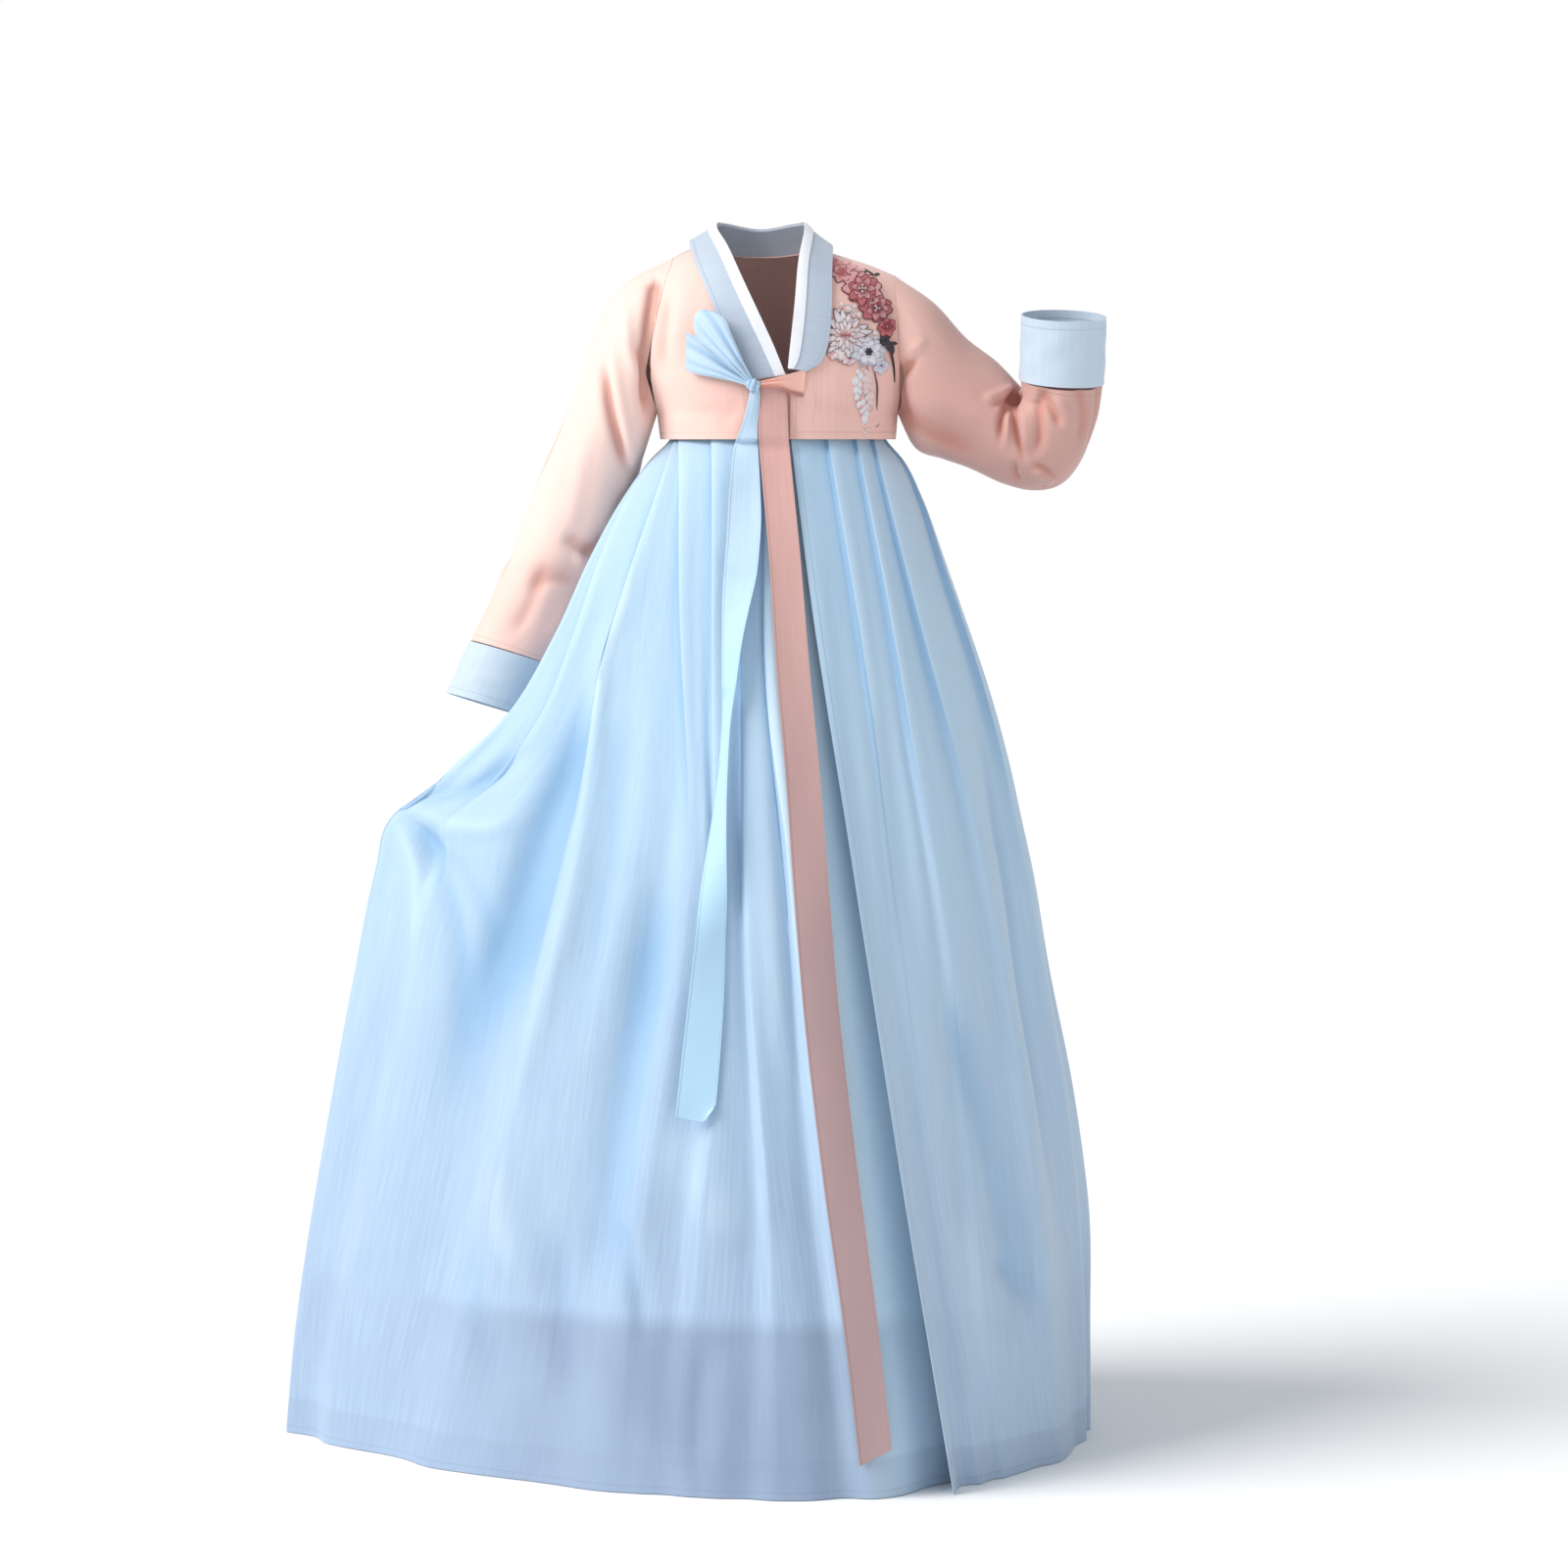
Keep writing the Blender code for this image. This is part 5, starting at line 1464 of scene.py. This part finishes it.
    def build(self, peach: Material, blue: Material, stub: Material) -> None:
        """Make every piece of the ties."""
        way = np.linspace(0, 1, self.tail_rows)[:, None]
        shares = np.linspace(-1, 1, self.tail_columns)[None]
        tail = self.tail(self.peach_tail, self.peach_stations, 0.0007)
        tail[..., 2] += smooth((way - 0.93) / 0.07) * self.peach_slant * shares
        self.ribbon("tie_peach", tail, peach, "hung")
        tail = self.tail(self.blue_tail, self.blue_stations, 0.0009)
        corner = self.blue_corner * np.maximum(shares - 0.5, 0) / 0.5 - self.blue_slant * shares
        tail[..., 2] += smooth((way - 0.94) / 0.06) * corner
        self.ribbon("tie_blue", tail, blue, "hung")
        self.bow(blue)
        self.make_stub(stub)
        self.make_knot(blue)

    def make_stub(self, finish: Material) -> None:
        """Make the folded stub of the peach tie, from the jacket's edge to the knot."""
        rows, columns = self.stub_grid
        points, folds = [], []
        for k, (x, height, width) in enumerate(through(self.stub, rows)):
            share = k / (rows - 1)
            for s in np.linspace(-1, 1, columns):
                lower = float(smooth((-s - 0.3) / 0.7)) * math.sin(math.pi * min(share * 1.2, 1.0))
                pleat = 0.0012 * math.cos(s * math.pi * 2.2) * smooth(share * 1.6) + 0.0035 * lower
                rise = (self.knot_lift - self.stub_lift) * float(smooth(share))
                y = float(self.body.y(x, height)) - self.stub_lift - rise - pleat
                points.append((x + 0.10 * s * width / 2, y, height + s * width / 2))
                # painted shadow along the lower edge, and painted shade between the pleats near the knot
                folds.append(-smooth((-s - 0.45) / 0.4) - 0.4 * smooth((share - 0.6) / 0.4) * math.cos(6 * s))
        grid = np.array(points).reshape(rows, columns, 3)
        self.ribbon("tie_stub", grid, finish, "folded", np.array(folds).reshape(rows, columns))

    def ribbon(
        self, name: str, points: np.ndarray, finish: Material, held: str,
        folds: np.ndarray | None = None,
    ) -> None:
        """Make one ribbon piece; `folds` gives each point's painted shade, below 0."""
        behind = points + (0.0, 0.05, 0.0)
        cloth = Cloth(points, behind)
        shares = np.abs(np.linspace(-1, 1, points.shape[1]))
        width = np.linalg.norm(points[:, -1] - points[:, 0], axis=1)
        cloth.marks["edge"] = (1 - shares)[None] * width[:, None] / 2 + 0.0055
        if folds is not None:
            # painted shade
            cloth.marks["fold_shading"] = folds
        cloth.sew(name, self.wall, finish, held, ("knot",))

    def bow(self, blue: Material) -> None:
        """Make the bow's loop and its short end, gathered at the knot."""
        knot_x, knot_height = self.knot
        knot_y = float(self.body.y(knot_x, knot_height)) - self.knot_lift
        for name, length, angle, end, swell, roundness, slant, lift in self.bow_parts:
            ahead = np.insert(heading(angle), 1, 0.0)
            across = np.array((-ahead[2], 0.0, ahead[0]))
            gap = self.loop_gap if name == "bow_loop" else 0.0
            straight = np.linspace(self.bow_start, length - gap / 2, self.bow_rows)
            sides = [(distance, gap / 2 + lift) for distance in straight]
            if gap:
                turns = np.linspace(0, math.pi, self.bow_turn_rows)[1:-1]
                sides += [(length - gap / 2 * (1 - math.sin(t)), math.cos(t) * gap / 2 + lift) for t in turns]
                sides += [(distance, lift - gap / 2) for distance in straight[::-1]]
            grid, folds = [], []
            for distance, stand in sides:
                share = distance / length
                width = self.bow_foot + (end - self.bow_foot) * float(smooth(share * swell) / smooth(swell))
                line = []
                to_end = float(smooth((share - 0.55) / 0.45))
                for s in np.linspace(-1, 1, self.bow_columns):
                    reach = distance * (1 - (roundness * s * s + slant * s) * to_end)
                    place = np.array((knot_x, 0.0, knot_height)) + ahead * reach + across * width / 2 * s
                    body = float(self.body.y(place[0], place[2]))
                    pleats = 0.0020 * math.cos(s * math.pi * 2.5)
                    pleats += 0.0034 * math.exp(-(((s - 0.25) / 0.16) ** 2))
                    puff = 0.0035 * math.sin(math.pi * share) * (1 - s * s)
                    out = self.bow_lift + stand + pleats * (1 - 0.85 * share) + puff
                    y = knot_y + (body - out - knot_y) * float(smooth(share / 0.4))
                    line.append((place[0], y, place[2]))
                    # painted shade in the pleats' hollows, stronger near the knot
                    folds.append((pleats / 0.0030 - 0.45) * (1 - 0.55 * share))
                grid.append(line)
            self.ribbon(name, np.array(grid), blue, "folded", np.array(folds).reshape(len(grid), -1))

    def make_knot(self, blue: Material) -> None:
        """Make the knot, a soft bundle with the wrap's creases across it."""
        x, height = self.knot
        y = float(self.body.y(x, height)) - self.knot_lift
        bpy.ops.object.select_all(action="DESELECT")
        bpy.ops.mesh.primitive_cube_add(size=2.0)
        piece = bpy.context.object
        piece.name = piece.data.name = "knot_cloth"
        edit(piece, lambda: bpy.ops.mesh.subdivide(number_cuts=self.knot_cuts, smoothness=0.0))
        co = coordinates(piece)
        co /= np.linalg.norm(co, axis=1)[:, None]
        co = np.sign(co) * np.abs(co) ** 0.85
        wraps = np.cos(co[:, 0] * 6.5 - co[:, 2] * 2.2 + 0.7) + 0.5 * np.cos(co[:, 2] * 9.0 + co[:, 0] * 3.0)
        co = co * (1 + 0.085 * wraps)[:, None] * np.array(self.knot_size) / 2
        piece.data.vertices.foreach_set("co", (co + (x, y, height - SHOULDER_HEIGHT)).ravel())
        # painted shade in the hollows of the wrap's creases
        for mark, values in (("edge", np.ones(len(co))), ("fold_shading", wraps - 0.4)):
            layer = piece.data.attributes.new(mark, "FLOAT", "POINT")
            layer.data.foreach_set("value", values.astype(np.float32))
        edit(piece, lambda: bpy.ops.uv.cube_project(cube_size=0.02))
        finished(piece, blue, KNOT_EDGE)
        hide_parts("knot")


# --- the embroidery ---------------------------------------------------------------------------------


ROSE: Colour = (0.640, 0.180, 0.190)
CRIMSON: Colour = (0.420, 0.040, 0.065)
DEEP_RED: Colour = (0.210, 0.012, 0.025)
PINK: Colour = (0.860, 0.450, 0.450)
PALE_PINK: Colour = (0.900, 0.700, 0.700)
PEARL: Colour = (0.900, 0.880, 0.910)
LAVENDER: Colour = (0.560, 0.540, 0.700)
TAUPE: Colour = (0.340, 0.180, 0.190)
INK: Colour = (0.012, 0.013, 0.020)


@dataclass(frozen=True)
class Bloom:
    """A flower: rings of outlined petals round a heart."""

    centre: Place
    radius: float
    # petals, reach, width, inner colour, outer colour
    rings: tuple[tuple[int, float, float, Colour, Colour], ...]
    turn: float = 0.0
    outline: Colour = TAUPE
    beads: int = 0
    bead: Colour = INK


@dataclass(frozen=True)
class Spray:
    """A stitched stem with leaves or buds along it."""

    line: tuple[Place, ...]
    width: float
    colour: Colour
    leaves: int = 0
    leaf_length: float = 0.010
    leaf_colour: Colour = ROSE
    spread: float = 48


@dataclass
class Embroidery:
    """The sprays and flowers worked on the jacket's left front, below the shoulder."""

    form: BodyForm
    wall: float = 0.0004
    lift: float = 0.0011
    petal_grid: tuple[int, int] = (7, 10)
    stem_grid: tuple[int, int] = (5, 28)
    stem_crown: float = 0.0007
    blooms: tuple[Bloom, ...] = (
        Bloom((0.092, 1.291), 0.021, (
            (10, 1.00, 0.30, ROSE, PINK), (8, 0.80, 0.30, CRIMSON, ROSE), (7, 0.58, 0.28, DEEP_RED, PINK),
            (6, 0.36, 0.24, DEEP_RED, ROSE)), 10, DEEP_RED, 5, PALE_PINK),
        Bloom((0.108, 1.269), 0.017, (
            (9, 1.00, 0.32, CRIMSON, ROSE), (7, 0.72, 0.30, DEEP_RED, PINK),
            (5, 0.42, 0.26, DEEP_RED, CRIMSON)), 25, DEEP_RED, 4, PEARL),
        Bloom((0.1195, 1.249), 0.0105, (
            (7, 1.00, 0.36, CRIMSON, ROSE), (5, 0.60, 0.30, DEEP_RED, CRIMSON)), 40, DEEP_RED, 1, PALE_PINK),
        Bloom((0.069, 1.309), 0.0105, (
            (6, 1.00, 0.40, ROSE, PINK), (5, 0.60, 0.32, CRIMSON, ROSE)), 15, DEEP_RED, 1, PALE_PINK),
        Bloom((0.073, 1.239), 0.0265, (
            (15, 1.00, 0.13, PALE_PINK, PEARL), (13, 0.76, 0.14, PINK, PEARL),
            (10, 0.52, 0.15, PALE_PINK, PEARL), (7, 0.30, 0.15, PINK, PALE_PINK)), 24, TAUPE, 3, ROSE),
        Bloom((0.099, 1.221), 0.0190, (
            (9, 1.00, 0.27, LAVENDER, PEARL), (7, 0.72, 0.27, PEARL, PEARL),
            (5, 0.44, 0.24, LAVENDER, PEARL)), 5, LAVENDER, 7, INK),
        Bloom((0.0775, 1.2135), 0.0085, ((8, 1.00, 0.36, PINK, PEARL),), 0, TAUPE, 1, INK),
        Bloom((0.061, 1.220), 0.0080, ((6, 1.00, 0.36, PINK, PALE_PINK),), 20, ROSE, 1, ROSE),
        Bloom((0.113, 1.206), 0.0090, ((7, 1.00, 0.34, LAVENDER, PEARL),), 12, LAVENDER, 1, INK),
    )
    sprays: tuple[Spray, ...] = (
        Spray(((0.047, 1.329), (0.060, 1.318), (0.076, 1.303)), 0.0034, ROSE, 8, 0.012, ROSE, 30),
        Spray(((0.062, 1.324), (0.078, 1.316), (0.095, 1.308)), 0.0030, ROSE, 7, 0.011, PINK, 30),
        Spray(((0.068, 1.310), (0.078, 1.299)), 0.0026, INK),
        Spray(((0.094, 1.314), (0.106, 1.306)), 0.0026, INK, 2, 0.007, INK),
        Spray(((0.052, 1.244), (0.062, 1.259), (0.078, 1.265), (0.096, 1.256)), 0.0022, PEARL),
        Spray(((0.050, 1.236), (0.056, 1.250), (0.068, 1.258)), 0.0016, PALE_PINK),
        Spray(((0.060, 1.266), (0.074, 1.272), (0.090, 1.264)), 0.0018, PEARL, 5, 0.007, PALE_PINK),
        Spray(((0.098, 1.248), (0.104, 1.240), (0.112, 1.236)), 0.0018, PEARL, 4, 0.007, PEARL),
        Spray(((0.108, 1.231), (0.118, 1.234), (0.127, 1.226)), 0.0030, INK, 7, 0.010, INK),
        Spray(((0.122, 1.228), (0.1265, 1.208), (0.128, 1.188)), 0.0022, INK),
        Spray(((0.090, 1.208), (0.087, 1.186), (0.089, 1.166), (0.096, 1.150)), 0.0030, PALE_PINK,
              13, 0.010, PEARL, 24),
        Spray(((0.097, 1.206), (0.098, 1.186), (0.099, 1.162)), 0.0030, PINK, 11, 0.010, PALE_PINK, 24),
        Spray(((0.093, 1.190), (0.093, 1.170), (0.094, 1.156)), 0.0026, PEARL, 7, 0.008, PINK, 30),
        Spray(((0.105, 1.200), (0.1085, 1.180), (0.108, 1.158)), 0.0022, TAUPE),
        Spray(((0.104, 1.158), (0.094, 1.150), (0.092, 1.140), (0.100, 1.137), (0.102, 1.144)),
              0.0018, PEARL),
        Spray(((0.108, 1.158), (0.112, 1.148), (0.108, 1.139), (0.103, 1.142)), 0.0018, TAUPE),
        Spray(((0.094, 1.150), (0.090, 1.142), (0.096, 1.134)), 0.0016, LAVENDER, 3, 0.005, PALE_PINK),
    )

    def petal(self) -> Piece:
        """Model the petal that every flower and leaf is copied from: 1 m long, from its foot up."""
        grid = new_grid("petal", *self.petal_grid)
        co = coordinates(grid)
        across, up = co[:, 0], (co[:, 1] + 1) / 2
        half = np.sin(math.pi * np.clip(0.06 + 0.90 * up, 0, 1)) ** 0.75
        shaped = np.column_stack([across * half, up, 0.30 * up * (1 - 0.5 * across**2) + 0.12 * across**2])
        grid.data.vertices.foreach_set("co", shaped.ravel())
        return grid

    def place(
        self, petal: Piece, at: Place, turn: float, length: float, width: float, lift: float,
        inner: Colour, outer: Colour,
    ) -> Piece:
        """Lay one copy of the petal on the jacket.

        Args:
            petal: The petal to copy.
            at: Where its foot is.
            turn: The way it points, in degrees from the wearer's left towards up.
            length: Its length.
            width: Half its width.
            lift: How far its foot stands off the cloth.
            inner: The colour at its foot.
            outer: The colour at its tip.

        Returns:
            The copy.
        """
        copy = petal.copy()
        copy.data = petal.data.copy()
        bpy.context.collection.objects.link(copy)
        co = coordinates(copy)
        ahead = heading(turn)
        across = np.array((-ahead[1], ahead[0]))
        flat = np.array(at) + co[:, :1] * across * width + co[:, 1:2] * ahead * length
        rise = lift + co[:, 2] * min(length, 0.012) * 0.22
        y = self.form.y(flat[:, 0], flat[:, 1]) - self.lift - rise
        self.lay(copy, flat, y)
        share = co[:, 1:2] ** 1.3
        tints = np.array(inner) * (1 - share) + np.array(outer) * share
        self.tint(copy, tints)
        layer = copy.data.uv_layers[0].data
        flat_uv = np.zeros(len(layer) * 2)
        layer.foreach_get("uv", flat_uv)
        flat_uv = (flat_uv.reshape(-1, 2) - (0.5, 0.0)) * (2 * width, length)
        layer.foreach_set("uv", flat_uv.ravel())
        return copy

    def lay(self, piece: Piece, flat: np.ndarray, y: np.ndarray) -> None:
        """Move a piece's points to places on the front and their y."""
        placed = np.column_stack([flat[:, 0], y, flat[:, 1] - SHOULDER_HEIGHT])
        piece.data.vertices.foreach_set("co", placed.ravel())

    def tint(self, piece: Piece, colours: np.ndarray) -> None:
        """Give each point of a piece its thread's colour."""
        layer = piece.data.attributes.new("tint", "FLOAT_COLOR", "POINT")
        whole = np.column_stack([colours, np.ones(len(colours))])
        layer.data.foreach_set("color", whole.astype(np.float32).ravel())

    def stem(self, spray: Spray) -> Piece:
        """Work one stem as a narrow raised band."""
        across, count = self.stem_grid
        line = through(spray.line, count)
        piece = new_grid("stem", across, count)
        co = coordinates(piece)
        row = np.rint((co[:, 1] + 1) / 2 * (count - 1)).astype(int)
        way = np.gradient(line, axis=0)
        way /= np.linalg.norm(way, axis=1)[:, None]
        side = np.column_stack([-way[:, 1], way[:, 0]])
        taper = 0.35 + 0.65 * np.sin(math.pi * np.linspace(0.12, 0.92, count))
        flat = line[row] + side[row] * (co[:, :1] * spray.width / 2 * taper[row][:, None])
        rise = self.stem_crown * (1 - co[:, 0] ** 2)
        y = self.form.y(flat[:, 0], flat[:, 1]) - self.lift - rise
        self.lay(piece, flat, y)
        self.tint(piece, np.repeat(np.array([spray.colour]), len(co), axis=0))
        return piece

    def build(self, finish: Material) -> None:
        """Work every flower and spray, joined as one piece."""
        petal, pieces, beads = self.petal(), [], []
        for spray in self.sprays:
            pieces.append(self.stem(spray))
            line = through(spray.line, 40)
            for k in range(spray.leaves):
                at = int(3 + 33 * k / max(spray.leaves - 1, 1))
                way = line[at + 1] - line[at - 1]
                turn = math.degrees(math.atan2(way[1], way[0]))
                turn += spray.spread if k % 2 else -spray.spread
                length = spray.leaf_length * (0.8 + 0.4 * ((k * 7) % 5) / 4)
                pieces.append(self.place(petal, tuple(line[at]), turn, length, length * 0.26, 0.0004,
                                         spray.leaf_colour, spray.leaf_colour))
        for bloom in self.blooms:
            for layer, (petals, reach, width, inner, outer) in enumerate(bloom.rings):
                for k in range(petals):
                    wobble = 9 * math.sin(7.3 * k + 3 * layer)
                    turn = bloom.turn + 360 * k / petals + 23 * layer + wobble
                    length = bloom.radius * reach * (1 + 0.15 * math.sin(5.1 * k + layer))
                    lift = 0.0006 * (1 + layer) + 0.00018 * (k % 3)
                    half = bloom.radius * width * reach
                    pieces.append(self.place(petal, bloom.centre, turn, length * 1.05, half * 1.26,
                                             lift - 0.00022, bloom.outline, bloom.outline))
                    pieces.append(self.place(petal, bloom.centre, turn, length, half, lift, inner, outer))
            for k in range(bloom.beads):
                turn = 2 * math.pi * k / max(bloom.beads - 1, 1)
                reach = 0.16 * bloom.radius * (k > 0)
                x, height = bloom.centre[0] + reach * math.cos(turn), bloom.centre[1] + reach * math.sin(turn)
                lift, radius = 0.0008 + 0.0009 * len(bloom.rings), bloom.radius * 0.055 + 0.0004
                beads.append((x, height, lift, radius, bloom.bead))
        bpy.data.objects.remove(petal)
        work = joined(pieces, "embroidery")
        solid = work.modifiers.new("wall", "SOLIDIFY")
        solid.thickness, solid.offset = self.wall, 0.0
        finished(work, finish, STITCH_EDGE)
        self.sew_beads(beads, finish)

    def sew_beads(self, beads: list[tuple], finish: Material) -> None:
        """Sew the small beads in the flowers' hearts, joined as one piece."""
        pieces = []
        for x, height, lift, radius, colour in beads:
            bpy.ops.object.select_all(action="DESELECT")
            y = float(self.form.y(x, height)) - self.lift - lift
            bpy.ops.mesh.primitive_ico_sphere_add(subdivisions=2, radius=radius)
            bead = bpy.context.object
            co = coordinates(bead) * (1, 0.7, 1) + (x, y, height - SHOULDER_HEIGHT)
            bead.data.vertices.foreach_set("co", co.ravel())
            self.tint(bead, np.repeat(np.array([colour]), len(co), axis=0))
            pieces.append(bead)
        finished(joined(pieces, "embroidery_beads"), finish, STITCH_EDGE)


# --- the studio -------------------------------------------------------------------------------------


@dataclass
class Studio:
    """A pale floor, soft light and the camera."""

    target: tuple[float, float, float] = (0.0055, 0.0, -0.591)
    distance: float = 5.5
    elevation: float = 4.0
    lens: float = 112.5
    sensor: float = 36.0
    floor_gap: float = 0.0008
    surround: float = 0.54

    def floor(self) -> None:
        """Lay the floor under the hem."""
        bpy.ops.object.select_all(action="DESELECT")
        bpy.ops.mesh.primitive_plane_add(size=60.0, location=(0, 0, -SHOULDER_HEIGHT - self.floor_gap))
        plane = bpy.context.object
        plane.name = "floor"
        paint = Paint("pale_floor")
        speck = paint.noise(paint.place(), (40.0, 40.0, 40.0), 2.0)
        colour = paint.mixed(speck * 0.1, (0.96, 0.96, 0.96), (0.94, 0.94, 0.945))
        paint.feed(paint.shader.inputs["Base Color"], colour)
        paint.shader.inputs["Roughness"].default_value = 0.9
        plane.data.materials.append(paint.material)

    def sun(
        self, name: str, strength: float, azimuth: float, elevation: float, spread: float, colour: Colour
    ) -> None:
        """Add one broad light.

        Args:
            name: Its name.
            strength: Its strength.
            azimuth: Where it stands, in degrees from the front towards the wearer's left.
            elevation: How high it stands, in degrees.
            spread: How broad it looks, in degrees.
            colour: Its colour.
        """
        light = bpy.data.lights.new(name, "SUN")
        light.energy, light.angle, light.color = strength, math.radians(spread), colour
        lamp = bpy.data.objects.new(name, light)
        bpy.context.scene.collection.objects.link(lamp)
        turn, rise = math.radians(azimuth), math.radians(elevation)
        away = Vector((math.sin(turn) * math.cos(rise), -math.cos(turn) * math.cos(rise), math.sin(rise)))
        lamp.rotation_euler = away.to_track_quat("Z", "Y").to_euler()

    def surroundings(self) -> None:
        """Light everything from a pale room that looks white."""
        world = bpy.data.worlds.new("pale_room")
        bpy.context.scene.world = world
        world.use_nodes = True
        nodes, links = world.node_tree.nodes, world.node_tree.links
        ground = nodes["Background"]
        ground.inputs["Color"].default_value = (0.93, 0.965, 1.0, 1.0)
        ground.inputs["Strength"].default_value = self.surround
        seen = nodes.new("ShaderNodeBackground")
        seen.inputs["Color"].default_value = (1.0, 1.0, 1.0, 1.0)
        seen.inputs["Strength"].default_value = 1.0
        path, mix = nodes.new("ShaderNodeLightPath"), nodes.new("ShaderNodeMixShader")
        links.new(path.outputs["Is Camera Ray"], mix.inputs[0])
        links.new(ground.outputs[0], mix.inputs[1])
        links.new(seen.outputs[0], mix.inputs[2])
        links.new(mix.outputs[0], nodes["World Output"].inputs[0])

    def camera(self) -> None:
        """Stand the camera in front, a little above the middle."""
        data = bpy.data.cameras.new("camera")
        data.lens, data.sensor_width = self.lens, self.sensor
        camera = bpy.data.objects.new("camera", data)
        bpy.context.scene.collection.objects.link(camera)
        rise = math.radians(self.elevation)
        away = Vector((0.0, -math.cos(rise), math.sin(rise)))
        camera.location = Vector(self.target) + away * self.distance
        camera.rotation_euler = away.to_track_quat("Z", "Y").to_euler()
        bpy.context.scene.camera = camera

    def build(self) -> None:
        """Set up the whole studio."""
        self.camera()
        self.floor()
        self.surroundings()
        self.sun("key", 3.0, -67, 38, 40, (1.0, 0.985, 0.965))
        self.sun("fill", 0.42, 42, 12, 70, (0.80, 0.91, 1.0))
        bpy.context.scene.view_settings.view_transform = "Standard"


def main() -> None:
    """Build and dress the hanbok, then the studio."""
    logging.basicConfig(level=logging.INFO, format="%(message)s", stream=sys.stdout)
    peach, blue_ribbon, peach_ribbon = PEACH.material(), BLUE_RIBBON.material(), PEACH_RIBBON.material()
    stub, cuff_blue, ice_blue = STUB.material(), CUFF_BLUE.material(), ICE_BLUE.material()
    white, skirt_cloth, thread = WHITE.material(), SKIRT.material(), THREAD.material()
    body, skirt = BodyForm(), SkirtForm()
    JacketBody(body).build(peach)
    Sleeves(body).build(peach, cuff_blue)
    Collar(body).build(ice_blue, white)
    Skirt(skirt).build(skirt_cloth)
    Ties(body, skirt).build(peach_ribbon, blue_ribbon, stub)
    Embroidery(body).build(thread)
    Studio().build()


if __name__ == "__main__":
    main()
